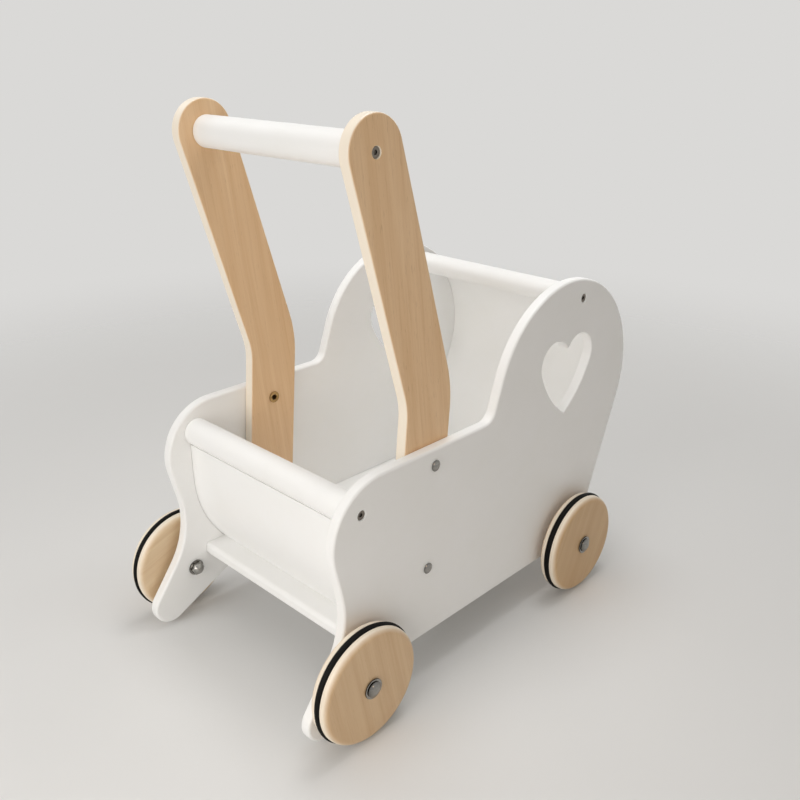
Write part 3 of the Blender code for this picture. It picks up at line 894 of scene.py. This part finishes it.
@dataclass(frozen=True)
class Screw(TurnedPiece):
    """Countersunk screw with a hexagon socket, its head at y = 0 and its point inwards."""

    radius: float = 2.0 * MM
    head_radius: float = 3.9 * MM
    head_depth: float = 3.0 * MM
    length: float = 40 * MM
    point: float = 4 * MM
    sunk: float = 1.2 * MM
    socket: float = 1.8 * MM
    socket_depth: float = 1.4 * MM
    rim: float = 0.2 * MM
    soft_edge: float = 0.5 * MM

    def rows(self) -> list[Row]:
        """Lists the rows of the section.

        Returns:
            Rows from the point to the bottom of the socket.
        """
        return [
            Row(0.0, -self.length),
            Row(self.radius, self.point - self.length),
            Row(self.radius, -self.head_depth),
            Row(self.head_radius, -self.rim),
            Row(self.head_radius - self.rim, 0.0),
            Row(self.socket + 2 * self.rim, 0.0),
            Row(self.socket, -self.rim, hexagon=True),
            Row(self.socket, -self.socket_depth, hexagon=True),
            Row(0.0, -self.socket_depth - 2 * self.rim),
        ]

    def hole(self, centre: Point, outer: float, inner: float) -> list[Level]:
        """Levels of the screw's hole through a plate.

        Args:
            centre: Middle of the hole.
            outer: Y of the face that takes the head.
            inner: Y of the other face.

        Returns:
            Circles with their Y; the paint softens the hole's mouth.
        """
        side = 1 if inner > outer else -1
        mouth = self.head_radius + CLEARANCE
        shank = round_points(centre, self.radius + CLEARANCE)
        return [
            (round_points(centre, mouth + self.soft_edge + FLAT_RING), outer),
            (round_points(centre, mouth + self.soft_edge), outer),
            (round_points(centre, mouth + self.soft_edge / 3), outer + side * self.soft_edge / 3),
            (round_points(centre, mouth), outer + side * self.soft_edge),
            (round_points(centre, mouth), outer + side * self.sunk),
            (shank, outer + side * (self.sunk + self.head_depth)),
            (shank, inner),
        ]


@dataclass(frozen=True)
class DomeBolt(TurnedPiece):
    """Bolt with a plain domed head, seated at y = 0 with its shank inwards."""

    head_radius: float
    head_height: float
    length: float
    radius: float = BOLT_RADIUS
    rim: float = 0.5 * MM

    def rows(self) -> list[Row]:
        """Lists the rows of the section.

        Returns:
            Rows from the end of the shank to the top of the head.
        """
        return [
            Row(0.0, -self.length),
            Row(self.radius - self.rim, -self.length),
            Row(self.radius, self.rim - self.length),
            Row(self.radius, 0.0),
            Row(self.head_radius - self.rim / 2, 0.0),
            Row(self.head_radius, self.rim / 2),
        ] + dome_rows(self.head_radius, self.rim, self.head_height)


@dataclass(frozen=True)
class SleeveNut(TurnedPiece):
    """Flanged sleeve nut with a hexagon socket in its flange, which seats at y = 0."""

    bore: float = BOLT_BORE
    radius: float = 4.5 * MM
    length: float = 8 * MM
    flange_radius: float = 5.4 * MM
    flange: float = 0.9 * MM
    socket: float = 2.9 * MM
    socket_depth: float = 4.5 * MM
    rim: float = 0.3 * MM

    def rows(self) -> list[Row]:
        """Lists the rows of the section.

        Returns:
            Rows round the section, which closes on itself.
        """
        bottom = self.flange - self.socket_depth
        return [
            Row(self.bore, -self.length),
            Row(self.radius, -self.length),
            Row(self.radius, 0.0),
            Row(self.flange_radius - self.rim / 2, 0.0),
            Row(self.flange_radius, self.rim / 2),
            Row(self.flange_radius, self.flange - self.rim),
            Row(self.flange_radius - self.rim * RIM_MIDDLE, self.flange - self.rim * RIM_MIDDLE),
            Row(self.flange_radius - self.rim, self.flange),
            Row(self.flange_radius - 2 * self.rim, self.flange),
            Row(self.socket + self.rim, self.flange),
            Row(self.socket, self.flange - self.rim, hexagon=True),
            Row(self.socket, bottom, hexagon=True),
            Row(self.bore, bottom),
        ]


@dataclass(frozen=True)
class Washer(TurnedPiece):
    """Flat round washer or spacer, its inner face at y = 0."""

    radius: float
    thickness: float = 1.2 * MM
    bore: float = BOLT_BORE
    rim: float = 0.3 * MM

    def rows(self) -> list[Row]:
        """Lists the rows of the section.

        Returns:
            Rows round the section, which closes on itself.
        """
        edge = self.radius - self.rim
        return [
            Row(self.bore, 0.0),
            Row(edge, 0.0),
            Row(self.radius, self.rim),
            Row(self.radius, self.thickness - self.rim),
            Row(self.radius - self.rim * RIM_MIDDLE, self.thickness - self.rim * RIM_MIDDLE),
            Row(edge, self.thickness),
            Row(edge - self.rim, self.thickness),
            Row(self.bore, self.thickness),
        ]


@dataclass(frozen=True)
class CapNut(TurnedPiece):
    """Domed cap nut with a hexagon, its open face at y = 0 and its dome along +y."""

    bore: float = BOLT_BORE
    bore_depth: float = 3.5 * MM
    hole_depth: float = 5.0 * MM
    corner: float = 6.2 * MM
    hexagon_top: float = 3.5 * MM
    dome_radius: float = 5.2 * MM
    height: float = 6.5 * MM
    rim: float = 0.5 * MM
    step: float = 0.1 * MM

    def rows(self) -> list[Row]:
        """Lists the rows of the section.

        Returns:
            Rows from the bottom of the hole, round the open face, to the top of the dome.
        """
        return [
            Row(0.0, self.hole_depth),
            Row(self.bore, self.bore_depth),
            Row(self.bore, 0.0),
            Row(self.dome_radius, 0.0),
            Row(self.corner, self.rim, hexagon=True),
            Row(self.corner, self.hexagon_top - self.rim, hexagon=True),
            Row(self.dome_radius + self.step, self.hexagon_top),
        ] + dome_rows(self.dome_radius, self.hexagon_top + 2 * self.step, self.height)


@dataclass(frozen=True)
class RoundBar(TurnedPiece):
    """Round bar along Y with softened ends and a pilot hole for a screw in each."""

    radius: float
    half_length: float
    screw: Screw
    softened: float = 1.0 * MM
    soft_steps: int = 4

    def rows(self) -> list[Row]:
        """Lists the rows of the section.

        Returns:
            Rows from one pilot hole to the other.
        """
        hole = self.screw.radius + CLEARANCE
        bottom = self.half_length - self.screw.length
        end = [Row(0.0, bottom), Row(hole, bottom), Row(hole, self.half_length)]
        end += [
            Row(
                self.radius - self.softened * (1 - math.sin(a)),
                self.half_length - self.softened * (1 - math.cos(a)),
            )
            for a in quarter_turn(self.soft_steps)
        ]
        end.append(Row(self.radius, self.half_length - self.softened - FLAT_RING))
        return end + mirrored(end)


@dataclass(frozen=True)
class Tyre(TurnedPiece):
    """Round rubber ring, its middle at y = 0."""

    segments: ClassVar[int] = LARGE_SEGMENTS
    radius: float = 0.050
    section: float = 3 * MM
    steps: int = 28

    @property
    def core(self) -> float:
        """Radius of the line through the middle of the ring's section."""
        return self.radius - self.section

    def rows(self) -> list[Row]:
        """Rows round the section."""
        turns = [math.tau * step / self.steps for step in range(self.steps)]
        return [Row(self.core + self.section * math.cos(a), self.section * math.sin(a)) for a in turns]


@dataclass(frozen=True)
class Wheel(TurnedPiece):
    """Wheel with round edges and a groove for its rubber ring, its middle at y = 0."""

    segments: ClassVar[int] = LARGE_SEGMENTS
    tyre: Tyre = Tyre()
    radius: float = 0.0485
    thickness: float = 0.018
    edge_round: float = 5 * MM
    edge_steps: int = 8
    groove_steps: int = 20
    bore: float = BOLT_BORE
    bore_bevel: float = 0.4 * MM

    def rows(self) -> list[Row]:
        """Lists the rows of the section.

        Returns:
            Rows round the section: bore, faces, round edges and the ring's groove.
        """
        half = self.thickness / 2
        edge = self.radius - self.edge_round
        seat = self.tyre.section + CLEARANCE
        lip = math.acos((self.radius - self.tyre.core) / seat)
        face = [
            Row(self.bore, self.bore_bevel - half),
            Row(self.bore + self.bore_bevel, -half),
            Row(self.bore + 2 * self.bore_bevel, -half),
            Row(edge - FLAT_RING, -half),
        ]
        face += [
            Row(edge + self.edge_round * math.sin(a), self.edge_round * (1 - math.cos(a)) - half)
            for a in quarter_turn(self.edge_steps)
        ]
        sweep = math.tau - 2 * lip
        turns = [lip + sweep * step / self.groove_steps for step in range(self.groove_steps + 1)]
        groove = [Row(self.tyre.core + seat * math.cos(a), -seat * math.sin(a)) for a in turns]
        return face + groove + mirrored(face)


# Sub-assemblies


@dataclass(frozen=True)
class Layout:
    """Sizes and places that more than one sub-assembly uses."""

    panel_outer: float = 0.112
    board_thickness: float = 0.010
    rim_height: float = 0.212
    bottom_height: float = 0.041
    floor_low: float = 0.0578
    floor_high: float = 0.0698
    axle_height: float = 0.050
    rear_axle: float = -0.1599
    front_axle: float = 0.1266
    hood: Circle = Circle((0.1105, 0.2135), 0.0993)
    front_foot_radius: float = 0.026
    hood_rail: Point = (0.1297, 0.2932)
    rear_rail: Point = (-0.1456, 0.1851)
    rear_rail_radius: float = 0.01225
    upper_bolt: Point = (-0.0657, 0.1973)
    lower_bolt: Point = (-0.0734, 0.1061)
    handle: Point = (-0.1167, 0.4398)
    screw: Screw = Screw()

    @property
    def panel_inner(self) -> float:
        """Distance of the panels' inner faces from the middle of the stroller."""
        return self.panel_outer - self.board_thickness

    @property
    def arm_outer(self) -> float:
        """Distance of the arms' outer faces from the middle."""
        return self.panel_inner - CLEARANCE

    @property
    def arm_inner(self) -> float:
        """Distance of the arms' inner faces from the middle."""
        return self.arm_outer - self.board_thickness

    @property
    def front_foot(self) -> Circle:
        """Round front foot of a panel, about the axle."""
        return Circle(self.axle(End.FRONT), self.front_foot_radius)

    def axle(self, end: End) -> Point:
        """Middle of the axle bolts at one end."""
        return (self.rear_axle if end is End.REAR else self.front_axle, self.axle_height)


@dataclass(frozen=True)
class Bed:
    """Floor board and bent end sheets, whose edges sit in channels in the side panels."""

    layout: Layout
    channel_depth: float = 4 * MM
    floor_rear: float = -0.1464
    floor_round: float = 4 * MM
    sheet: float = 3 * MM
    front_inset: float = 4 * MM
    front_top: float = math.radians(47)
    rear_behind_rail: float = 6.8 * MM
    rear_bend_height: float = 0.142
    rear_bend_radius: float = 0.110

    @property
    def channel_floor(self) -> float:
        """Distance of the channels' bottoms from the middle of the stroller."""
        return self.layout.panel_inner + self.channel_depth

    @property
    def rear_top(self) -> float:
        """Height where the rear sheet's edge is glued to the underside of the rear rail."""
        near = self.rear_behind_rail - self.sheet
        reach = self.layout.rear_rail_radius - GLUED
        return self.layout.rear_rail[1] - math.sqrt(reach ** 2 - near ** 2)

    def front_face(self, depth: float, low: float, past_end: float = 0.0) -> list[Point]:
        """One face of the front sheet, from a height up the front and round the hood.

        Args:
            depth: Distance inwards from the panel's outline.
            low: Height of the first point.
            past_end: How far the face runs past the sheet's top end.

        Returns:
            The points from the bottom up.
        """
        hood = self.layout.hood
        direction = self.layout.front_foot.heading(hood)
        normal = direction - math.pi / 2
        radius = hood.radius - depth
        top = self.front_top + past_end / radius
        run = arc_points(hood.centre, radius, normal, top - normal)
        foot = (run[0][0] + (low - run[0][1]) / math.tan(direction), low)
        return [foot] + run

    def rear_face(self, depth: float, low: float, high: float) -> list[Point]:
        """One face of the rear sheet.

        Args:
            depth: Distance forwards from the sheet's outer face.
            low: Height of the last point.
            high: Height of the first point.

        Returns:
            The points from the top down.
        """
        x = self.layout.rear_rail[0] - self.rear_behind_rail + depth
        radius = self.rear_bend_radius - depth
        sweep = math.asin((self.rear_bend_height - low) / radius)
        return [(x, high)] + arc_points((x + radius, self.rear_bend_height), radius, math.pi, sweep)

    def front_outline(self) -> list[Point]:
        """Draws the section of the front sheet.

        Returns:
            Its points, with a sanded round top edge.
        """
        low = self.layout.floor_low
        half = self.sheet / 2
        middle = self.layout.hood.radius - self.front_inset - half
        outer = self.front_face(self.front_inset, low, -half)
        inner = self.front_face(self.front_inset + self.sheet, low, -half)
        angle = self.front_top - half / middle
        hood_x, hood_z = self.layout.hood.centre
        top = (hood_x + middle * math.cos(angle), hood_z + middle * math.sin(angle))
        return outer[:-1] + arc_points(top, half, angle, math.pi) + inner[-2::-1]

    def rear_outline(self) -> list[Point]:
        """Draws the section of the rear sheet.

        Returns:
            Its points, from the top of the outer face.
        """
        low = self.layout.floor_high - GLUED
        outer = self.rear_face(0.0, low, self.rear_top)
        inner = self.rear_face(self.sheet, low, self.rear_top)
        return outer + inner[::-1]

    def floor_edge(self, gap: float) -> list[Point]:
        """Draws the rounded rear edge of the floor board.

        Args:
            gap: How far the edge is grown.

        Returns:
            Its points, from the top face down.
        """
        radius = self.floor_round + gap
        x = self.floor_rear + self.floor_round
        upper = arc_points((x, self.layout.floor_high - self.floor_round), radius, math.pi / 2, math.pi / 2)
        lower = arc_points((x, self.layout.floor_low + self.floor_round), radius, math.pi, math.pi / 2)
        return upper + lower

    def floor_outline(self) -> list[Point]:
        """Draws the section of the floor board.

        Returns:
            Its points; the front edge lies against the front sheet.
        """
        depth = self.front_inset + self.sheet + CLEARANCE
        heights = (self.layout.floor_low, self.layout.floor_high)
        return self.floor_edge(0.0) + [self.front_face(depth, height)[0] for height in heights]

    def channel_outline(self) -> list[Point]:
        """Draws the routed channel in a panel.

        Returns:
            Points round the edges of the floor and both sheets, with clearance.
        """
        gap = CLEARANCE
        low, high, top = self.layout.floor_low - gap, self.layout.floor_high + gap, self.rear_top + gap
        rear_outer = self.rear_face(-gap, high, top)
        rear_inner = self.rear_face(self.sheet + gap, high, top)
        front_outer = self.front_face(self.front_inset - gap, low, gap)
        front_inner = self.front_face(self.front_inset + self.sheet + gap, high, gap)
        return rear_outer + self.floor_edge(gap) + front_outer + front_inner[::-1] + rear_inner[::-1]

    def build(self, finishes: Finishes) -> None:
        """Builds and dresses the floor board and both sheets.

        Args:
            finishes: Materials of the stroller.
        """
        half = self.channel_floor - CLEARANCE
        sections = {
            "floor_board": (self.floor_outline(), finishes.panel_white),
            "front_sheet": (self.front_outline(), finishes.sheet_white),
            "rear_sheet": (self.rear_outline(), finishes.sheet_white),
        }
        for node, (outline, material) in sections.items():
            skin = Skin()
            ends = skin.wall([(outline, y) for y in (-half, FLAT_RING - half, half - FLAT_RING, half)])
            for end in ends:
                skin.fill(end)
            skin.dress(node, material)


@dataclass(frozen=True)
class SidePanels:
    """Two shaped side panels, each with a heart cut-out, a hood lobe and a rear leg."""

    layout: Layout
    bed: Bed
    edge_round: float = 2.2 * MM
    crown_x: float = -0.1249
    crown_radius: float = 0.050
    waist_radius: float = 0.080
    straight_above_waist: float = 0.0266
    straight_below_waist: float = 0.0345
    foot: Circle = Circle((-0.1879, 0.021), 0.017)
    leg_hollow_x: float = -0.1029
    leg_hollow_radius: float = 0.030
    front_hollow_radius: float = 0.010
    notch_radius: float = 0.012
    hood_flare: float = 3 * MM
    heart_middle: float = 0.1105
    heart_lobe_height: float = 0.2404
    heart_lobe_radius: float = 0.020
    heart_lobe_spacing: float = 0.037
    heart_tip_drop: float = 0.0498
    heart_tip_radius: float = 2 * MM
    heart_side_radius: float = 0.100
    heart_notch_radius: float = 2.5 * MM
    heart_round: float = 1.5 * MM

    def outline(self) -> Outline:
        """Draws the outline of a panel.

        Returns:
            The outline, from the front foot over the hood to the rear leg.
        """
        lay = self.layout
        crown = Circle((self.crown_x, lay.rim_height - self.crown_radius), self.crown_radius)
        above = math.hypot(self.crown_radius + self.waist_radius, self.straight_above_waist)
        below = math.hypot(self.foot.radius + self.waist_radius, self.straight_below_waist)
        waist = meeting_point(self.foot.centre, below, crown.centre, above)
        notch_x = lay.hood.centre[0] - lay.hood.radius - self.notch_radius - self.hood_flare
        hollow_height = lay.bottom_height - self.front_hollow_radius
        reach = lay.front_foot_radius + self.front_hollow_radius
        hollow_x = lay.front_axle - math.sqrt(reach ** 2 - (lay.axle_height - hollow_height) ** 2)
        leg_height = lay.bottom_height - self.leg_hollow_radius
        return Outline((
            lay.front_foot,
            lay.hood,
            Circle((notch_x, lay.rim_height + self.notch_radius), self.notch_radius, Turn.HOLLOW),
            crown,
            Circle(waist, self.waist_radius, Turn.HOLLOW),
            self.foot,
            Circle((self.leg_hollow_x, leg_height), self.leg_hollow_radius, Turn.HOLLOW),
            Circle((hollow_x, hollow_height), self.front_hollow_radius, Turn.HOLLOW),
        ))

    def heart(self) -> Outline:
        """Draws the outline of the heart.

        Returns:
            The outline: front lobe, notch, rear lobe, rear side, tip and front side.
        """
        x, z = self.heart_middle, self.heart_lobe_height
        half = self.heart_lobe_spacing / 2
        reach = self.heart_lobe_radius + self.heart_notch_radius
        front, rear = (x + half, z), (x - half, z)
        tip = (x, z - self.heart_tip_drop)
        lobe_reach = self.heart_side_radius - self.heart_lobe_radius
        tip_reach = self.heart_side_radius - self.heart_tip_radius
        return Outline((
            Circle(front, self.heart_lobe_radius),
            Circle((x, z + math.sqrt(reach ** 2 - half ** 2)), self.heart_notch_radius, Turn.HOLLOW),
            Circle(rear, self.heart_lobe_radius),
            Circle(meeting_point(rear, lobe_reach, tip, tip_reach), self.heart_side_radius),
            Circle(tip, self.heart_tip_radius),
            Circle(meeting_point(tip, tip_reach, front, lobe_reach), self.heart_side_radius),
        ))

    def build(self, finishes: Finishes) -> None:
        """Builds and dresses both panels.

        Args:
            finishes: Materials of the stroller.
        """
        lay = self.layout
        bolts = [lay.upper_bolt, lay.lower_bolt] + [lay.axle(end) for end in End]
        for side in Side:
            outer, inner = side.value * lay.panel_outer, side.value * lay.panel_inner
            skin = Skin()
            walls = [skin.wall(self.outline().rounded(outer, inner, self.edge_round))]
            walls.append(skin.wall(self.heart().rounded(outer, inner, self.heart_round, hole=True)))
            for centre in (lay.hood_rail, lay.rear_rail):
                walls.append(skin.wall(lay.screw.hole(centre, outer, inner)))
            for centre in bolts:
                circle = round_points(centre, BOLT_BORE)
                walls.append(skin.wall([(circle, outer), (circle, inner)]))
            channel = self.bed.channel_outline()
            mouth, bottom = skin.wall([(channel, inner), (channel, side.value * self.bed.channel_floor)])
            skin.fill(*[first for first, _ in walls])
            skin.fill(*[last for _, last in walls], mouth)
            skin.fill(bottom)
            skin.dress(f"{side.word}_side_panel", finishes.panel_white)


@dataclass(frozen=True)
class Rails:
    """Two round rails between the side panels, with their screws."""

    layout: Layout
    hood_rail_radius: float = 0.010

    def build(self, finishes: Finishes) -> None:
        """Builds and dresses both rails and their four screws.

        Args:
            finishes: Materials of the stroller.
        """
        lay = self.layout
        rails = {
            "hood": (lay.hood_rail, self.hood_rail_radius),
            "rear": (lay.rear_rail, lay.rear_rail_radius),
        }
        for rail, ((x, z), radius) in rails.items():
            bar = RoundBar(radius, lay.panel_inner - CLEARANCE, lay.screw)
            bar.dress(f"{rail}_dowel", finishes.bar_white, (x, 0.0, z))
            for side in Side:
                place = (x, side.value * (lay.panel_outer - lay.screw.sunk), z)
                lay.screw.dress(f"{side.word}_{rail}_screw", finishes.dark_steel, place, side)


@dataclass(frozen=True)
class Handle:
    """Two bent arms bolted inside the side panels, and the bar between their tops."""

    layout: Layout
    width: float = 0.0505
    edge_round: float = 1.4 * MM
    bend_height: float = 0.251
    bend_radius: float = 0.080
    corner_radius: float = 6 * MM
    bar_radius: float = 0.01275
    bolt: DomeBolt = DomeBolt(head_radius=4.7 * MM, head_height=2.0 * MM, length=16.5 * MM)
    nut: SleeveNut = SleeveNut()

    def outline(self) -> Outline:
        """Draws the outline of an arm.

        Returns:
            The outline: lower corners, the bend and the round top about the bar.
        """
        lay = self.layout
        half = self.width / 2
        slope = (lay.upper_bolt[0] - lay.lower_bolt[0]) / (lay.upper_bolt[1] - lay.lower_bolt[1])
        lower = math.atan2(1.0, slope)
        corner = (lay.lower_bolt[0] + slope * (self.bend_height - lay.lower_bolt[1]), self.bend_height)
        upper = math.atan2(lay.handle[1] - corner[1], lay.handle[0] - corner[0])
        half_turn = (upper - lower) / 2
        bend = beside(corner, lower + half_turn, self.bend_radius / math.cos(half_turn))
        end_height = lay.floor_high + CLEARANCE + self.corner_radius
        end_x = lay.lower_bolt[0] + slope * (end_height - lay.lower_bolt[1])
        end_half = half / math.sin(lower) - self.corner_radius
        return Outline((
            Circle((end_x + end_half, end_height), self.corner_radius),
            Circle(bend, self.bend_radius + half),
            Circle(lay.handle, half),
            Circle(bend, self.bend_radius - half, Turn.HOLLOW),
            Circle((end_x - end_half, end_height), self.corner_radius),
        ))

    def arm(self, side: Side) -> Skin:
        """Builds an arm with its screw hole and two stepped bolt holes.

        Args:
            side: Side of the stroller that the arm is on.

        Returns:
            The arm's skin.
        """
        lay = self.layout
        outer, inner = side.value * lay.arm_outer, side.value * lay.arm_inner
        step = inner + side.value * (self.nut.length + CLEARANCE)
        skin = Skin()
        walls = [skin.wall(self.outline().rounded(outer, inner, self.edge_round))]
        walls.append(skin.wall(lay.screw.hole(lay.handle, outer, inner)))
        for centre in (lay.upper_bolt, lay.lower_bolt):
            narrow = round_points(centre, BOLT_BORE)
            wide = round_points(centre, self.nut.radius + CLEARANCE)
            walls.append(skin.wall([(narrow, outer), (narrow, step), (wide, step), (wide, inner)]))
        skin.fill(*[first for first, _ in walls])
        skin.fill(*[last for _, last in walls])
        return skin

    def build(self, finishes: Finishes) -> None:
        """Builds and dresses the arms, the bar, the bolts, the nuts and the screws.

        Args:
            finishes: Materials of the stroller.
        """
        lay = self.layout
        x, z = lay.handle
        bar = RoundBar(self.bar_radius, lay.arm_inner - CLEARANCE, lay.screw)
        bar.dress("handle_bar", finishes.bar_white, (x, 0.0, z))
        for side in Side:
            self.arm(side).dress(f"{side.word}_arm", finishes.arm_birch)
            place = (x, side.value * (lay.arm_outer - lay.screw.sunk), z)
            lay.screw.dress(f"{side.word}_handle_screw", finishes.dark_steel, place, side)
            for level, (bolt_x, bolt_z) in (("upper", lay.upper_bolt), ("lower", lay.lower_bolt)):
                prefix = f"{side.word}_{level}_arm"
                head = (bolt_x, side.value * (lay.panel_outer + CLEARANCE), bolt_z)
                flange = (bolt_x, side.value * (lay.arm_inner - CLEARANCE), bolt_z)
                self.bolt.dress(f"{prefix}_bolt", finishes.zinc, head, side)
                self.nut.dress(f"{prefix}_sleeve_nut", finishes.brass, flange, side.other)


@dataclass(frozen=True)
class Corner:
    """One wheel with its rubber ring, and the fixed hardware on its axle bolt."""

    layout: Layout
    end: End
    side: Side
    wheel: Wheel = Wheel()
    standoff: float = 5.8 * MM
    washer: Washer = Washer(radius=8.5 * MM)
    inner_washer: Washer = Washer(radius=7.4 * MM)
    spacer: Washer = Washer(radius=8.0 * MM, thickness=5.2 * MM)
    nut: CapNut = CapNut()
    shank_in_nut: float = 3.2 * MM
    head_radius: float = 6.6 * MM
    head_height: float = 3.0 * MM

    def build(self, finishes: Finishes) -> None:
        """Builds and dresses the wheel, its ring and the hardware.

        Args:
            finishes: Materials of the stroller.
        """
        lay = self.layout
        x, z = lay.axle(self.end)
        wheel_y = lay.panel_outer + self.standoff + self.wheel.thickness / 2
        washer_y = wheel_y + self.wheel.thickness / 2 + CLEARANCE
        head_y = washer_y + self.washer.thickness + CLEARANCE
        inner_y = lay.panel_inner - CLEARANCE
        nut_y = inner_y - self.inner_washer.thickness - CLEARANCE
        shank = head_y - nut_y + self.shank_in_nut
        bolt = DomeBolt(self.head_radius, self.head_height, shank)
        birch = finishes.wheel_birch[self.end, self.side]
        outwards, inwards = self.side, self.side.other
        pieces = {
            "wheel": (self.wheel, birch, wheel_y, outwards),
            "tyre": (self.wheel.tyre, finishes.rubber, wheel_y, outwards),
            "axle_bolt": (bolt, finishes.zinc, head_y, outwards),
            "hub_washer": (self.washer, finishes.zinc, washer_y, outwards),
            "spacer": (self.spacer, finishes.zinc, lay.panel_outer + CLEARANCE, outwards),
            "inner_washer": (self.inner_washer, finishes.zinc, inner_y, inwards),
            "cap_nut": (self.nut, finishes.nut_zinc, nut_y, inwards),
        }
        for word, (piece, material, y, facing) in pieces.items():
            node = f"{self.end.value}_{self.side.word}_{word}"
            piece.dress(node, material, (x, self.side.value * y, z), facing)


# Studio


@dataclass(frozen=True)
class Lamp:
    """Soft rectangular lamp."""

    name: str
    place: Place
    aim: Place
    size: tuple[float, float]
    watts: float
    tint: str

    def build(self) -> None:
        """Adds the lamp, turned to what it lights."""
        data = bpy.data.lights.new(self.name, "AREA")
        data.shape = "RECTANGLE"
        data.size, data.size_y = self.size
        data.energy = self.watts
        data.color = colour(self.tint)[:3]
        beam = Vector(self.aim) - Vector(self.place)
        put(self.name, data, self.place, beam.to_track_quat("-Z", "Y").to_euler())


@dataclass(frozen=True)
class Studio:
    """Paper floor, soft lamps, pale surroundings and the camera."""

    floor_reach: float = 3.0
    floor_height: float = -0.2 * MM
    camera_place: Place = (-0.53055, -0.52575, 0.51208)
    camera_pitch: float = math.radians(67.391)
    camera_turn: float = math.radians(-45.757)
    lens: float = 39.753
    sensor: float = 36.0
    surround: str = "#DAD9D7"
    surround_level: float = 1.0
    sky: str = "#FFF9F1"
    sky_level: float = 0.275
    # Five broad lamps shape the forms, the catch lamp glints on bolt heads, the low one lifts the wheels
    lamps: tuple[Lamp, ...] = (
        Lamp("key_lamp", (-1.5, 0.10, 0.70), (0.0, 0.0, 0.10), (1.5, 1.0), 7.3, "#FFFFFF"),
        Lamp("overhead_lamp", (-0.2, -0.3, 2.4), (0.0, 0.0, 0.1), (2.0, 2.0), 7.8, "#FFFFFF"),
        Lamp("far_side_lamp", (-0.3, 1.5, 1.1), (0.0, 0.0, 0.15), (1.2, 1.0), 3.0, "#FFFFFF"),
        Lamp("bed_lamp", (0.18, 0.0, 1.2), (0.10, 0.02, 0.1), (0.5, 0.4), 3.8, "#FFFFFF"),
        Lamp("catch_lamp", (-0.05, -1.3, 0.40), (-0.05, -0.1, 0.12), (0.16, 0.12), 0.32, "#FFDDBB"),
        Lamp("low_lamp", (-0.75, -0.35, 0.32), (-0.15, 0.0, 0.07), (0.6, 0.3), 1.4, "#FFF8F0"),
        Lamp("front_lamp", (1.5, 0.30, 0.80), (0.10, 0.0, 0.15), (1.2, 1.0), 2.6, "#FFFFFF"),
    )

    def add_floor(self) -> None:
        """Adds the paper floor."""
        reach = self.floor_reach
        mesh = bpy.data.meshes.new("paper_floor")
        corners = [(-reach, -reach, 0.0), (reach, -reach, 0.0), (reach, reach, 0.0), (-reach, reach, 0.0)]
        mesh.from_pydata(corners, [], [(0, 1, 2, 3)])
        mesh.materials.append(StudioPaper("matt_studio_paper").material())
        floor = put(mesh.name, mesh, (0.0, 0.0, self.floor_height))

    def add_surroundings(self) -> None:
        """Adds even light from all round, and the plain pale tone that the eye and mirrors see."""
        world = bpy.data.worlds.new("pale_surroundings")
        world.use_nodes = True
        tree = world.node_tree
        tree.nodes.clear()
        path = add_node(tree, "ShaderNodeLightPath").outputs
        seen = path["Is Camera Ray"]
        for kind in ("Is Glossy Ray", "Is Transmission Ray"):
            seen = add_node(tree, "ShaderNodeMath", {0: seen, 1: path[kind]}, operation="MAXIMUM").outputs[0]
        light, tone = (
            add_node(tree, "ShaderNodeBackground", {"Color": colour(code), "Strength": level}).outputs[0]
            for code, level in ((self.sky, self.sky_level), (self.surround, self.surround_level))
        )
        mixed = add_node(tree, "ShaderNodeMixShader", {0: seen, 1: light, 2: tone})
        add_node(tree, "ShaderNodeOutputWorld", {"Surface": mixed.outputs[0]})
        bpy.context.scene.world = world

    def add_camera(self) -> None:
        """Adds the camera at the photo's viewpoint."""
        data = bpy.data.cameras.new("camera")
        data.lens = self.lens
        data.sensor_width = self.sensor
        turn = (self.camera_pitch, 0.0, self.camera_turn)
        bpy.context.scene.camera = put("camera", data, self.camera_place, turn)

    def build(self) -> None:
        """Sets up the whole studio."""
        self.add_floor()
        self.add_surroundings()
        for lamp in self.lamps:
            lamp.build()
        self.add_camera()
        bpy.context.scene.view_settings.view_transform = "Standard"


def main() -> None:
    """Builds the stroller's sub-assemblies in order, then the studio."""
    logging.basicConfig(level=logging.INFO, format="%(name)s: %(message)s")
    layout = Layout()
    bed = Bed(layout)
    finishes = Finishes()
    corners = [Corner(layout, end, side) for end in End for side in Side]
    for assembly in (SidePanels(layout, bed), bed, Rails(layout), Handle(layout), *corners):
        assembly.build(finishes)
    Studio().build()


if __name__ == "__main__":
    main()
